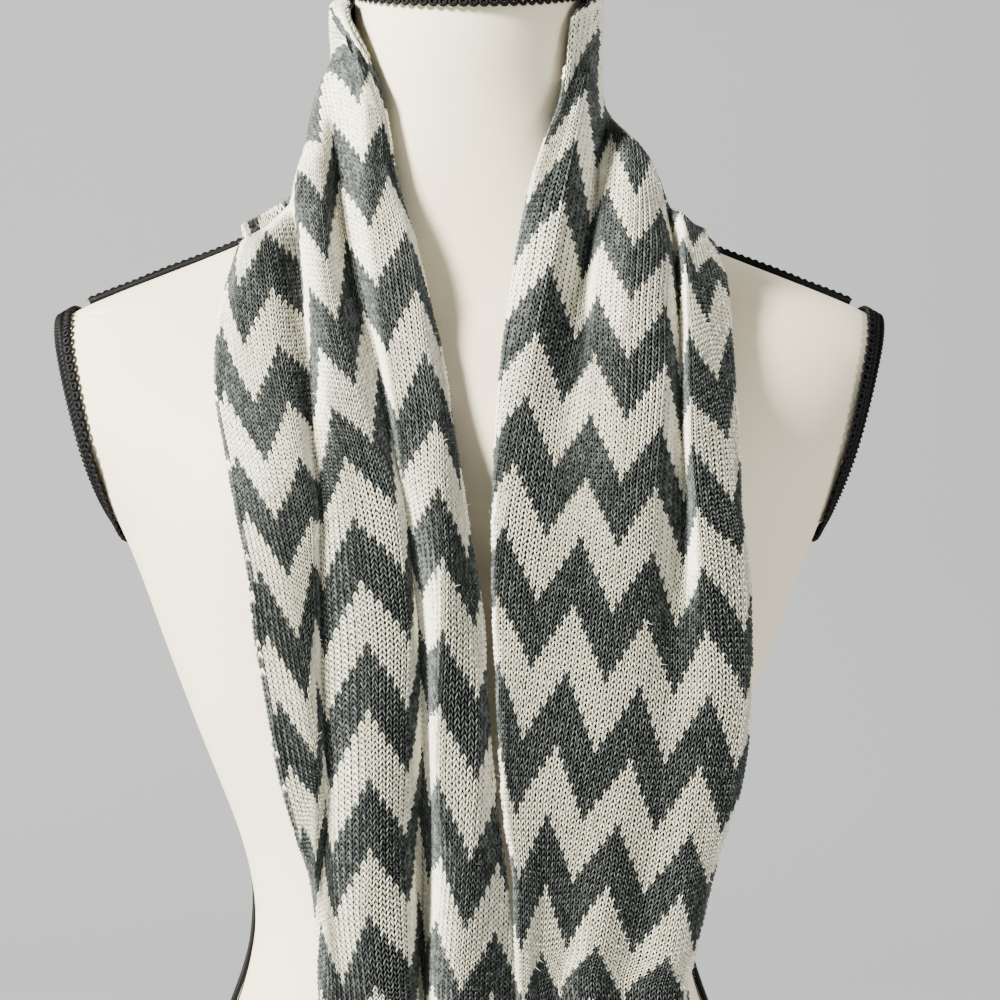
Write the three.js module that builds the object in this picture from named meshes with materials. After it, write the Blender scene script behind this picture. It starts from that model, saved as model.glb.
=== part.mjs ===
// A knitted infinity scarf hanging as one loop round the neck of a limbless dress form.
// Millimetres, +Z up, the front faces -Y, and the origin is the middle of the form's flat underside.
import * as THREE from "three";

// Driving dimensions of the dress form
const ARM_PLATE_TOP = { x: 202, z: 561 };
const ARM_PLATE_BOTTOM = { x: 173.5, z: 457.5 };
const PLATE_THICK = 3;
const NECK_TOP = 727; // height of the neck's top where it crosses the side
const NECK_SLOPE = 0.37; // the neck's top drops towards the front
const NECK_SLOPE_STARTS = 650;
const BUST = { x: 85, z: 470, rise: 21, wide: 47, tall: 56 };
const TRIM_GAP = 0.5; // every trim lies just clear of the cover
const NECK_TRIM_GAP = 1.2; // the neck leans a little, and its braid stands upright
const TRIM_THICK = 1.7;
const SHOULDER_BRAID_THICK = 2.8;
const BRAID_REACH = [-1.6, 2, 5.6, 9.2]; // across an arm's braid, from the rim inwards
const SHOULDER_BRAID_WIDE = 6;
const RIBBON_WIDE = 5;
const RIBBON_THICK = 2.4;
const SEAT_GAP = 0.3;

// The form's level sections: half width, depth before and behind the middle, the middle's own place
// and the fullness of the oval
const TORSO = [
  { z: 0, half: 160, front: 96, back: 112, middle: 0, power: 2.2 },
  { z: 60, half: 166, front: 99, back: 122, middle: 0, power: 2.2 },
  { z: 120, half: 158, front: 96, back: 120, middle: 0, power: 2.2 },
  { z: 180, half: 134, front: 89, back: 99, middle: 0, power: 2.2 },
  { z: 220, half: 117, front: 85, back: 86, middle: 0, power: 2.2 },
  { z: 257, half: 106, front: 82, back: 78, middle: 0, power: 2.2 },
  { z: 300, half: 112, front: 84, back: 80, middle: 0, power: 2.2 },
  { z: 347, half: 131, front: 90, back: 86, middle: 0, power: 2.2 },
  { z: 402, half: 152, front: 95, back: 92, middle: 0, power: 2.25 },
  { z: 457.5, half: 173.5, front: 97, back: 96, middle: 0, power: 2.3 },
  { z: 500, half: 203, front: 90, back: 96, middle: 0, power: 2.3 },
  { z: 541, half: 215, front: 75, back: 92, middle: 1, power: 2.3 },
  { z: 561, half: 202, front: 65, back: 86, middle: 3, power: 2.3 },
  { z: 580, half: 158.5, front: 57, back: 79, middle: 4, power: 2.25 },
  { z: 597, half: 115, front: 53, back: 73, middle: 4, power: 2.2 },
  { z: 612, half: 88, front: 52, back: 68, middle: 4, power: 2.15 },
  { z: 628, half: 72, front: 52, back: 63, middle: 3, power: 2.1 },
  { z: 645, half: 63, front: 53, back: 59, middle: 1, power: 2.05 },
  { z: 665, half: 58.5, front: 54, back: 57, middle: -2, power: 2 },
  { z: 690, half: 57, front: 56, back: 56, middle: -5, power: 2 },
  { z: 727, half: 57, front: 57, back: 56, middle: -8, power: 2 },
];

// Driving dimensions of the scarf: a knitted tube pressed flat, so the wall is two layers of knit
const WALL = 3;
const EDGE_ROUND = 1.4;
const CLOTH_CLEAR = 1.4; // inner face to the cover
const BRAID_CLEAR = 3.5; // and how much more over a braid
const LOOP_COURSES = 576; // the whole loop, 2.6 mm a course
const STRETCH_GAP = 0.6;

// The front is laid out as it looks from this point, on the plane of the shoulders (y = 0)
const VIEWPOINT = { x: 15, y: -950, z: 470 };

// Left fall, outer edge to inner edge, a row for each section: the course where it lies, the wale of each
// column, how far across and how high the column looks, and how far its outer face stands off the form
const LEFT_FALL = [
  {
    course: -12,
    wales: [-6, 0, 6, 12, 18, 24, 30, 36, 40, 42, 44],
    across: [-115, -110, -101.5, -90, -85.5, -75, -67.5, -55.5, -47.5, -43.5, -40.5],
    height: [598, 601, 604, 617, 634.5, 648, 658, 667.5, 662.5, 658, 655.5],
    lift: [5, 8, 10, 6, 12, 14, 8, 12, 11, 9.3, 7.5],
  },
  {
    course: 0,
    wales: [-6.5, 0, 6, 12, 18, 24, 30, 36, 41, 43, 45.5],
    across: [-122, -115.5, -99, -85.5, -84.5, -74, -65.5, -53.5, -43, -39.5, -35.5],
    height: [578, 577, 575.5, 589, 608, 620.5, 628.5, 638.5, 633, 630, 628],
    lift: [5, 9, 11, 5, 12, 15, 7, 13, 13, 10, 7.5],
  },
  {
    course: 12,
    wales: [-7, 0, 6, 12, 18, 24, 30, 36, 42, 44.5, 47],
    across: [-126.5, -112.5, -96, -83, -80, -71.5, -62, -50, -32.5, -29, -27],
    height: [558, 547.5, 547, 561, 576, 590, 599, 606.5, 603.5, 601.5, 599.5],
    lift: [5, 10, 12, 5, 12, 15, 6.5, 13, 13, 10, 7.5],
  },
  {
    course: 24,
    wales: [-7.5, 0, 6, 12, 18, 24, 30, 36, 42, 45.5, 48],
    across: [-127.5, -107.5, -91, -80.5, -75, -66.5, -53.5, -46.5, -27, -22.5, -20],
    height: [525, 519, 518.5, 533, 545.5, 560, 563.5, 576.5, 574, 572, 570.5],
    lift: [5, 10, 12, 5, 12.5, 15, 6, 12, 13.5, 10, 7.5],
  },
  {
    course: 36,
    wales: [-8, 0, 6, 12, 18, 24, 30, 36, 42, 46, 49],
    across: [-122.5, -102, -85.5, -78.5, -69, -57.5, -46, -41, -23, -16, -13],
    height: [492, 489, 490.5, 504, 516, 527.5, 535, 543.5, 543, 541.5, 541],
    lift: [5, 10, 12, 5.5, 13, 14.5, 6, 11, 14, 10, 8],
  },
  {
    course: 48,
    wales: [-8, 0, 6, 12, 18, 24, 30, 36, 42, 46, 49.5],
    across: [-117.5, -97, -79.5, -75.5, -62.5, -48.5, -40, -36, -17.5, -10.5, -8],
    height: [464.5, 460.5, 461.5, 478, 491, 498, 505, 510, 509, 508, 508],
    lift: [5, 10, 11, 6.5, 13, 14, 6, 10, 14.5, 11, 8],
  },
  {
    course: 60,
    wales: [-8, 0, 6, 12, 18, 24, 30, 36, 42, 46, 50],
    across: [-111.5, -90.5, -78.5, -74, -58, -37.5, -34, -33, -16, -7, -2.5],
    height: [434.5, 431.5, 439, 458, 460, 467.5, 475.5, 480, 475.5, 474.5, 474],
    lift: [5, 10, 10, 7, 13, 13, 6, 9, 15, 11, 8],
  },
  {
    course: 72,
    wales: [-8, 0, 6, 12, 18, 24, 30, 36, 42, 46, 50],
    across: [-108, -86, -77.5, -73, -54.5, -33, -30.5, -28, -13.5, -4.5, 2.5],
    height: [402, 401, 410, 425, 429, 433, 443, 452, 440.5, 441, 441],
    lift: [5.5, 10.5, 9, 6.5, 13, 12, 5.5, 8, 15.5, 12, 8.5],
  },
  {
    course: 84,
    wales: [-8, 0, 6, 12, 18, 24, 30, 36, 42, 46, 50],
    across: [-102, -81.5, -77, -72, -51.5, -30.5, -26.5, -23, -13.5, -2, 7.5],
    height: [368, 370, 379, 392, 397.5, 399.5, 410.5, 420, 404, 406, 408],
    lift: [6, 11, 8, 6, 13, 11, 5, 7.5, 16, 13, 8.5],
  },
  {
    course: 96,
    wales: [-8, 0, 6, 12, 18, 24, 30, 36, 42, 48, 50],
    across: [-96.5, -77, -74.5, -71, -51, -31.5, -25, -20.5, -15, 3.5, 9],
    height: [335, 340, 347.5, 359.5, 364.5, 365.5, 380, 392.5, 367, 370.5, 372],
    lift: [6, 10, 8, 6, 14, 11, 4, 7, 15, 13, 8.5],
  },
  {
    course: 108,
    wales: [-8, 0, 6, 12, 18, 24, 30, 36, 42, 48, 51.5],
    across: [-87, -76.5, -72.5, -69, -50.5, -31.5, -24.5, -20, -16, 3, 12.5],
    height: [301, 318, 320, 325.5, 330, 333.5, 347, 358, 331, 330, 330.5],
    lift: [6, 9.5, 8, 7, 15, 11, 2, 5, 14, 15, 8.5],
  },
  {
    course: 120,
    wales: [-5, 0, 6, 12, 18, 24, 30, 36, 42, 48, 55],
    across: [-80.5, -77, -73, -68.5, -50, -32.5, -26, -20, -14.5, 0, 17.5],
    height: [282, 289, 291, 293.5, 295, 303, 311, 316, 291, 290, 287],
    lift: [6, 9, 8, 9, 16, 11, -1, 1, 12, 16, 8.5],
  },
  {
    course: 132,
    wales: [2, 5, 8, 12, 18, 24, 30, 36, 42, 48, 57],
    across: [-77, -75, -72, -67, -50.5, -31, -26.5, -20.5, -16.5, -2.5, 21.5],
    height: [255, 257, 259, 261, 261.5, 268.5, 273.5, 277, 259, 255.5, 252.5],
    lift: [7, 9, 11, 12, 17, 12, -3, -3, 11, 17, 8.5],
  },
  {
    course: 144,
    wales: [5, 7, 9, 12, 18, 24, 30, 36, 42, 48, 58],
    across: [-76, -73, -69.5, -63.5, -47.5, -30, -26, -21.5, -18.5, -4.5, 22.5],
    height: [224, 225, 226.5, 228, 226.5, 237, 241, 243, 227, 224.5, 223],
    lift: [7, 9.5, 11.5, 13, 17, 13, -3, -3, 10, 18, 8.5],
  },
  {
    course: 156,
    wales: [6, 8, 10, 12, 18, 24, 30, 36, 42, 48, 58],
    across: [-75, -72, -68, -61.5, -45, -29.5, -25, -21, -17.5, -4.5, 23.5],
    height: [192, 193, 194.5, 196, 194, 204, 208, 210, 196, 192.5, 191],
    lift: [7, 9.5, 11.5, 13, 17, 13, 1, 1, 10, 18, 8.5],
  },
];

// Right fall, outer edge to inner edge, from the shoulder down
const RIGHT_FALL = [
  {
    course: 456,
    wales: [-4, 6, 12, 18, 24, 30, 36, 42, 48, 51, 54],
    across: [121.5, 110, 105, 98.5, 90, 81, 70.5, 65.5, 58, 52.5, 46.5],
    height: [598.5, 609, 613.5, 617, 639, 650, 653.5, 661, 675, 676, 674.5],
    lift: [5, 10, 10, 5, 13, 15, 8, 6, 13, 10, 7],
  },
  {
    course: 444,
    wales: [-3, 6, 12, 18, 24, 30, 36, 42, 48, 51, 54],
    across: [126, 111.5, 106.5, 101, 95, 83, 69, 63, 53, 44.5, 36.5],
    height: [588.5, 596.5, 601, 602, 615.5, 623.5, 626, 636, 650, 649, 647.5],
    lift: [5, 11, 11, 4.8, 13, 16, 9, 5.5, 14.5, 11, 8],
  },
  {
    course: 432,
    wales: [-2, 6, 12, 18, 24, 30, 36, 42, 48, 51, 54],
    across: [129, 113.5, 107.5, 102.5, 98.5, 82, 66.5, 60, 46.5, 35, 27.5],
    height: [578, 584, 588, 585.5, 593, 597.5, 599.5, 609, 619.5, 619, 618.5],
    lift: [5, 11, 12, 4.8, 13, 16, 9, 5.5, 15, 11.5, 8],
  },
  {
    course: 420,
    wales: [0, 6, 12, 18, 24, 30, 36, 42, 48, 51, 53.5],
    across: [131, 119, 109.5, 104.5, 97.5, 80.5, 64, 56, 40.5, 29.5, 22],
    height: [556, 559, 556, 556.5, 567, 570.5, 572.5, 581, 587, 587.5, 587.5],
    lift: [5, 10, 12, 4.8, 14, 16, 9, 5.5, 15, 12, 8],
  },
  {
    course: 408,
    wales: [1, 6, 12, 18, 24, 30, 36, 42, 48, 51, 53],
    across: [133, 123.5, 110.5, 105, 97.5, 79, 62.5, 52.5, 33.5, 24, 17],
    height: [528, 530.5, 522, 526.5, 538, 541.5, 543, 551, 554, 555, 556],
    lift: [5, 9, 12.5, 4.8, 14, 15, 9.5, 6, 14.5, 12, 8.5],
  },
  {
    course: 396,
    wales: [2, 6, 12, 18, 24, 30, 36, 42, 48, 50.5, 52.5],
    across: [135, 128.5, 111, 106, 95.5, 78, 60.5, 46, 28.5, 20.5, 14],
    height: [500, 501, 498, 499.5, 507, 511, 513, 519.5, 522.5, 524, 524.5],
    lift: [5, 8.5, 13, 4.8, 14, 14.5, 10.5, 7, 13, 11.5, 8.5],
  },
  {
    course: 384,
    wales: [3, 6, 12, 18, 24, 30, 36, 42, 48, 50, 52],
    across: [136, 131, 114, 107, 93, 75.5, 58.5, 42.5, 22.5, 16.5, 12],
    height: [468, 469.5, 466.5, 469.5, 476.5, 480, 481, 487.5, 488, 490, 491],
    lift: [5, 8, 13, 4.8, 13.5, 14, 11.5, 9, 12, 10.8, 9.3],
  },
  {
    course: 372,
    wales: [3, 6, 12, 18, 24, 30, 36, 42, 48, 49.5, 50.5],
    across: [140, 135, 116.5, 106.5, 91.5, 74, 55.5, 38, 17.5, 14, 11],
    height: [441, 443.5, 436.5, 438.5, 444, 447.5, 451.5, 453, 456.5, 457.5, 458],
    lift: [5.5, 8, 12.5, 5.5, 13, 13.5, 11.5, 10.5, 11.5, 10.6, 9.3],
  },
  {
    course: 360,
    wales: [3, 6, 12, 18, 24, 30, 36, 42, 46, 48, 49],
    across: [141.5, 137, 118.5, 103, 88, 71, 52, 33.5, 20.5, 14, 11],
    height: [403, 405, 405, 407.5, 410.5, 414.5, 417.5, 420.5, 421.5, 422, 422.5],
    lift: [6, 8, 12, 8, 12.5, 13, 11.5, 11, 11, 10.4, 9.3],
  },
  {
    course: 348,
    wales: [3.5, 6, 12, 18, 24, 30, 36, 42, 45, 47, 48],
    across: [141, 137.5, 119.5, 102, 85, 67.5, 48.5, 30.5, 22, 16.5, 12.5],
    height: [370, 371, 373, 373.5, 377, 379.5, 384, 387, 388, 388.5, 389],
    lift: [6.5, 9, 12, 10, 12.5, 13, 12, 11.5, 11.4, 10.7, 9.4],
  },
  {
    course: 336,
    wales: [3, 6, 12, 18, 24, 30, 36, 42, 44, 46, 47],
    across: [138, 132.5, 115, 97.5, 80.5, 62.5, 43.5, 26.5, 22, 17.5, 14],
    height: [336, 336.5, 337.5, 339, 340.5, 344.5, 347.5, 351, 351.5, 352, 352.5],
    lift: [7, 9.5, 12.5, 11, 13, 13, 12.5, 12, 12, 11, 9.6],
  },
  {
    course: 324,
    wales: [4, 6, 12, 18, 24, 30, 36, 40, 42, 43.5, 45],
    across: [129.5, 125.5, 110.5, 92.5, 74, 56.5, 39, 28, 23, 19.5, 16.5],
    height: [305, 304.5, 303.5, 305.5, 307.5, 310.5, 313, 313.5, 313.5, 313.5, 314],
    lift: [8, 10.5, 13, 11.5, 13.5, 12.5, 12, 12, 12, 11.4, 10.2],
  },
  {
    course: 312,
    wales: [4, 6, 12, 18, 24, 30, 36, 38.5, 40.5, 41.8, 43],
    across: [121.5, 118.5, 105.5, 87, 69, 51.5, 38, 32, 28, 25, 21.5],
    height: [279.5, 279, 273, 274, 277, 279.5, 278, 279.5, 280.5, 281, 281.5],
    lift: [9, 11.5, 14, 11, 14.5, 11, 9.5, 11, 11.8, 11.5, 10.6],
  },
  {
    course: 300,
    wales: [5, 7, 12, 18, 24, 30, 36, 38.5, 40.5, 41.8, 43],
    across: [114, 110, 99, 81, 63.5, 48.5, 36, 31.5, 28.5, 26, 22.5],
    height: [245.5, 245, 242, 244.5, 247, 246.5, 244, 244.5, 245, 245.5, 246],
    lift: [9, 12, 14.5, 11, 15, 10, 9, 10.5, 11.6, 11.4, 10.6],
  },
  {
    course: 288,
    wales: [5, 7, 12, 18, 24, 30, 36, 38.5, 40.5, 41.8, 43],
    across: [110, 106, 93.5, 77, 60.5, 45.5, 35.5, 32.5, 30, 27.5, 24],
    height: [219, 219, 217, 219.5, 221, 222, 218, 217.5, 217.5, 217.5, 217.5],
    lift: [9, 12, 14.5, 11, 15.5, 10.5, 9.5, 10.8, 11.6, 11.4, 10.6],
  },
];

// The turn at the loop's foot, arcs about one centre: the columns' radii, and a row for each section:
// the course, the angle, and how far each column stands off, with a few puckers by the inner edge
const TURN_CENTRE = { x: 23, z: 135 };
const TURN_RADII = [92, 86, 77, 68, 58, 48, 39, 31, 23, 16, 10];
const TURN = [
  { course: 178, degrees: 177, lift: [6, 10, 12, 13, 16, 13, 8, 10, 14, 15, 10] },
  { course: 193, degrees: 208, lift: [6, 11, 14, 12, 14, 16, 13, 8, 9, 12, 9] },
  { course: 208, degrees: 239, lift: [7, 12, 15, 11, 12, 17, 18, 14, 9, 9, 8] },
  { course: 223, degrees: 271, lift: [7, 11, 15, 13, 11, 13, 17, 19, 16, 12, 9] },
  { course: 238, degrees: 303, lift: [7, 10, 14, 15, 12, 11, 13, 15, 11, 9, 8] },
  { course: 253, degrees: 333, lift: [8, 11, 14, 14, 14, 12, 10, 10, 14, 14, 10] },
  { course: 267, degrees: 362, lift: [9, 12, 14, 12, 15, 12, 10.5, 11.5, 12, 11, 9.5] },
];

// The wrap behind the neck, lower edge to upper edge: the course, and each column's bearing seen from
// above, height and lift
const WRAP = [
  {
    course: 468,
    bearing: [15, 15, 15, 14, 12, 10, 10, 7, -6, -20, -34],
    height: [599.5, 604, 609, 615.5, 635, 656, 672, 687, 700, 702, 702],
    lift: [5, 10, 10, 6, 13, 14, 9, 7.6, 7.8, 6.5, 5.5],
  },
  {
    course: 483,
    bearing: [41, 38, 35, 32, 29, 26, 23, 18, 11, 5, 0],
    height: [606, 618, 629, 639, 652, 665, 680, 694, 711, 721, 729],
    lift: [5, 10, 12, 7, 12, 14, 8, 6.5, 6, 5.5, 5],
  },
  {
    course: 510,
    bearing: [90, 90, 90, 90, 90, 90, 90, 90, 90, 90, 90],
    height: [604, 616, 629, 641, 652, 666, 680, 692, 713, 729, 738],
    lift: [5, 10, 12, 7, 13, 13, 7, 12, 13, 9, 6],
  },
  {
    course: 537,
    bearing: [139, 142, 145, 148, 151, 154, 160, 173, 188, 197, 204],
    height: [608, 619, 630, 641, 653, 666, 683, 703, 714, 712, 709],
    lift: [5, 10, 11, 8, 14, 17, 12, 11, 10, 8, 6],
  },
  {
    course: 552,
    bearing: [165, 165, 165, 166, 170, 175, 186, 212, 221, 225, 228],
    height: [600.5, 607, 615, 628, 646, 664, 682, 688, 676, 670, 665],
    lift: [5, 9, 14, 12, 20, 21, 13, 9.5, 9, 8, 6.5],
  },
];

// How far in front of the form's middle the cloth hangs, below the bust
const HANG = [
  { z: 30, depth: 102 },
  { z: 120, depth: 104 },
  { z: 200, depth: 106 },
  { z: 300, depth: 108 },
  { z: 400, depth: 109 },
  { z: 470, depth: 106 },
  { z: 520, depth: 80 },
  { z: 640, depth: 20 },
];

// Smooth values from a table, by its first column
function smoothTable(rows, key, name, at) {
  const last = rows.length - 1;
  const x = THREE.MathUtils.clamp(at, rows[0][key], rows[last][key]);
  let i = 0;
  while (i < last - 1 && x > rows[i + 1][key]) i += 1;
  const slope = (a, b) => (rows[b][name] - rows[a][name]) / (rows[b][key] - rows[a][key]);
  const tangent = (k) => slope(Math.max(k - 1, 0), Math.min(k + 1, last));
  const span = rows[i + 1][key] - rows[i][key];
  return hermite((x - rows[i][key]) / span, rows[i][name], rows[i + 1][name],
    tangent(i) * span, tangent(i + 1) * span);
}

function hermite(t, a, b, tangentA, tangentB) {
  const t2 = t * t;
  const t3 = t2 * t;
  return (2 * t3 - 3 * t2 + 1) * a + (t3 - 2 * t2 + t) * tangentA
    + (3 * t2 - 2 * t3) * b + (t3 - t2) * tangentB;
}

// The form's shape
function sectionAt(z) {
  const at = (name) => smoothTable(TORSO, "z", name, z);
  return { half: at("half"), front: at("front"), back: at("back"), middle: at("middle"), power: at("power") };
}

function bustRise(x, z) {
  const across = (Math.abs(x) - BUST.x) / BUST.wide;
  const up = (z - BUST.z) / BUST.tall;
  return BUST.rise * Math.exp(-across * across - up * up);
}

function plateX(z) {
  const lean = (ARM_PLATE_TOP.x - ARM_PLATE_BOTTOM.x) / (ARM_PLATE_TOP.z - ARM_PLATE_BOTTOM.z);
  return ARM_PLATE_BOTTOM.x + (z - ARM_PLATE_BOTTOM.z) * lean;
}

// Only between the arm plates' top and bottom do they cut the form
function halfWidthCut(z) {
  const half = sectionAt(z).half;
  const cut = z > ARM_PLATE_BOTTOM.z && z < ARM_PLATE_TOP.z;
  return cut ? Math.min(half, plateX(z)) : half;
}

function neckShear(y, z) {
  const share = THREE.MathUtils.smoothstep(z, NECK_SLOPE_STARTS, NECK_TOP);
  const middle = sectionAt(NECK_TOP).middle;
  return share * NECK_SLOPE * (y - middle);
}

// A point of the cover: its level, the place across as a turn, and the front or the back
function coverPoint(z, turn, side) {
  const s = sectionAt(z);
  const c = Math.cos(turn);
  const x = s.half * Math.sign(c) * Math.abs(c) ** (2 / s.power);
  const share = Math.abs(Math.sin(turn)) ** (2 / s.power);
  const y = side < 0 ? s.middle - (s.front + bustRise(x, z)) * share : s.middle + s.back * share;
  return new THREE.Vector3(x, y, z + neckShear(y, z));
}

function rimTurn(z) {
  const s = sectionAt(z);
  const share = Math.min(1, halfWidthCut(z) / s.half);
  return Math.acos(share ** (s.power / 2));
}

// The cover as a level surface: 1 on it and more outside
function coverValue(p) {
  const s = sectionAt(p.z - neckShear(p.y, p.z));
  const deep = p.y < s.middle ? s.front + bustRise(p.x, p.z) : s.back;
  const sum = (Math.abs(p.x) / s.half) ** s.power + (Math.abs(p.y - s.middle) / deep) ** s.power;
  return sum ** (1 / s.power);
}

function coverSlope(p) {
  const step = 0.5;
  const along = (axis) => {
    const more = p.clone();
    const less = p.clone();
    more[axis] += step;
    less[axis] -= step;
    return (coverValue(more) - coverValue(less)) / (2 * step);
  };
  return new THREE.Vector3(along("x"), along("y"), along("z"));
}

const coverNormal = (p) => coverSlope(p).normalize();

// The nearest point of the cover, and the point a gap above it
function onCover(p, gap) {
  const at = p.clone();
  for (let round = 0; round < 4; round += 1) {
    const slope = coverSlope(at);
    at.addScaledVector(slope, (gap * slope.length() + 1 - coverValue(at)) / slope.lengthSq());
  }
  return at;
}

// Closed meshes: equal points are merged, collapsed faces dropped, and the faces turned out
function closedGeometry(points, faces) {
  const seen = new Map();
  const position = [];
  const place = points.map((p) => {
    const name = [p.x, p.y, p.z].map((v) => Math.round(v * 500)).join();
    if (!seen.has(name)) {
      seen.set(name, position.length / 3);
      position.push(p.x, p.y, p.z);
    }
    return seen.get(name);
  });
  const kept = faces.map((f) => f.map((i) => place[i]))
    .filter(([a, b, c]) => a !== b && b !== c && c !== a);
  const corner = (i) => new THREE.Vector3().fromArray(position, 3 * i);
  const volume = kept.reduce((sum, [a, b, c]) => sum + corner(a).dot(corner(b).cross(corner(c))), 0);
  const index = kept.flatMap(([a, b, c]) => (volume < 0 ? [a, c, b] : [a, b, c]));
  const geometry = new THREE.BufferGeometry();
  geometry.setAttribute("position", new THREE.Float32BufferAttribute(position, 3));
  geometry.setIndex(index);
  geometry.computeVertexNormals();
  return geometry;
}

// Rings of equal length joined in order, closed round each ring
function bridgeRings(count, size, isClosed) {
  const faces = [];
  const rows = isClosed ? count : count - 1;
  for (let r = 0; r < rows; r += 1) {
    for (let i = 0; i < size; i += 1) {
      const j = (i + 1) % size;
      const a = r * size;
      const b = ((r + 1) % count) * size;
      faces.push([a + i, a + j, b + j], [a + i, b + j, b + i]);
    }
  }
  return faces;
}

function loftWithLids(rings) {
  const points = rings.flat();
  const size = rings[0].length;
  const faces = bridgeRings(rings.length, size, false);
  const lid = (first, isTop) => {
    const middle = new THREE.Vector3();
    for (let i = 0; i < size; i += 1) middle.addScaledVector(points[first + i], 1 / size);
    points.push(middle);
    for (let i = 0; i < size; i += 1) {
      const j = (i + 1) % size;
      const pair = isTop ? [first + i, first + j] : [first + j, first + i];
      faces.push([...pair, points.length - 1]);
    }
  };
  lid(0, false);
  lid((rings.length - 1) * size, true);
  return closedGeometry(points, faces);
}

// A flat band through points on the cover: its width runs along `side`, its thickness along `out`
function bandGeometry(stations, isClosed) {
  const rings = stations.map(({ at, side, out, wide, low, high }) => {
    const corner = (s, h) => at.clone().addScaledVector(side, s).addScaledVector(out, h);
    return [corner(wide[0], low), corner(wide[1], low), corner(wide[1], high), corner(wide[0], high)];
  });
  if (!isClosed) return loftWithLids(rings);
  return closedGeometry(rings.flat(), bridgeRings(rings.length, 4, true));
}

const range = (count) => [...Array(count).keys()];

// The form's body, with flat cuts at the arms and a sloping neck top
function torsoGeometry() {
  const across = 19;
  const levels = [0, 3, 30, 60, 90, 120, 150, 180, 210, 235, 257, 280, 305, 330, 357, 385, 412, 436,
    457.5, 460, 466, 475, 488, 502, 516, 530, 541, 549, 555, 559, 561, 566, 573, 580, 588, 597, 606, 616,
    628, 640, 652, 666, 684, 703, NECK_TOP];
  const rings = levels.map((z) => {
    const start = rimTurn(z);
    const turn = (i) => start + ((Math.PI - 2 * start) * i) / (across - 1);
    const front = range(across).map((i) => coverPoint(z, turn(i), -1));
    const back = range(across).map((i) => coverPoint(z, Math.PI - turn(i), 1));
    return [...front, ...back];
  });
  return loftWithLids(rings);
}

// The outline of an arm's flat cut, round the oval from its foot
function armRim(hand) {
  const levels = [457.5, 459, 462, 467, 475, 486, 498, 511, 524, 535, 544, 551, 556, 559.4, 561];
  const side = (z, face) => {
    const p = coverPoint(z, rimTurn(z), face);
    p.x *= hand;
    return p;
  };
  const front = levels.map((z) => side(z, -1));
  const back = levels.slice(1, -1).reverse().map((z) => side(z, 1));
  return [...front, ...back];
}

function plateNormal(hand) {
  const rise = ARM_PLATE_TOP.z - ARM_PLATE_BOTTOM.z;
  const lean = ARM_PLATE_TOP.x - ARM_PLATE_BOTTOM.x;
  return new THREE.Vector3(hand * rise, 0, -lean).normalize();
}

function armPlateGeometry(hand) {
  const rim = armRim(hand);
  const out = plateNormal(hand);
  const middle = rim.reduce((sum, p) => sum.addScaledVector(p, 1 / rim.length), new THREE.Vector3());
  const ring = (share, lift) => rim.map((p) => middle.clone().lerp(p, share).addScaledVector(out, lift));
  return loftWithLids([
    ring(0.97, SEAT_GAP),
    ring(0.975, SEAT_GAP + PLATE_THICK * 0.6),
    ring(0.93, SEAT_GAP + PLATE_THICK),
    ring(0.5, SEAT_GAP + PLATE_THICK * 1.3),
  ]);
}

// The braid round an arm's cut covers the rim, and follows the body's curve beside it
function armBraidGeometry(hand) {
  const out = plateNormal(hand);
  const rings = armRim(hand).map((at) => {
    const side = out.clone().negate().projectOnPlane(coverNormal(at)).normalize();
    const row = (gap) => BRAID_REACH.map((s) => onCover(at.clone().addScaledVector(side, s), gap));
    return [...row(TRIM_GAP), ...row(TRIM_GAP + TRIM_THICK).reverse()];
  });
  return closedGeometry(rings.flat(), bridgeRings(rings.length, 2 * BRAID_REACH.length, true));
}

function shoulderBraidGeometry(hand) {
  const levels = [567.5, 573, 580, 589, 597, 605, 614, 624, 636, 650, 668, 690, 717];
  const stations = levels.map((z) => {
    const at = coverPoint(z, 0, -1);
    at.x *= hand;
    const normal = coverNormal(at);
    const half = SHOULDER_BRAID_WIDE / 2;
    return {
      at, side: new THREE.Vector3(0, 1, 0), out: normal, wide: [-half, half],
      low: TRIM_GAP, high: TRIM_GAP + SHOULDER_BRAID_THICK,
    };
  });
  return bandGeometry(stations, false);
}

const NECK_BRAID = { low: NECK_TOP - 6.5, high: NECK_TOP + 0.6 };

function neckBraidGeometry() {
  const count = 40;
  const stations = range(count).map((i) => {
    const bearing = (2 * Math.PI * i) / count;
    const top = coverPoint(NECK_TOP, Math.acos(Math.cos(bearing)), Math.sin(bearing) < 0 ? -1 : 1);
    const normal = new THREE.Vector3(Math.cos(bearing), Math.sin(bearing), 0);
    const drop = NECK_TOP - NECK_BRAID.low;
    const rise = NECK_BRAID.high - NECK_TOP;
    return {
      at: top, side: new THREE.Vector3(0, 0, 1), out: normal, wide: [-drop, rise],
      low: NECK_TRIM_GAP, high: NECK_TRIM_GAP + TRIM_THICK,
    };
  });
  return bandGeometry(stations, true);
}

function neckCapGeometry() {
  const count = 40;
  const ring = (share, lift) => range(count).map((i) => {
    const bearing = (2 * Math.PI * i) / count;
    const p = coverPoint(NECK_TOP, Math.acos(Math.cos(bearing)), Math.sin(bearing) < 0 ? -1 : 1);
    const middle = sectionAt(NECK_TOP).middle;
    const x = p.x * share;
    const y = middle + (p.y - middle) * share;
    return new THREE.Vector3(x, y, NECK_TOP + NECK_SLOPE * (y - middle) + lift);
  });
  return loftWithLids([ring(0.985, SEAT_GAP), ring(0.985, 1.6), ring(0.9, 3.4), ring(0.6, 5), ring(0.25, 5.6)]);
}

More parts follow.
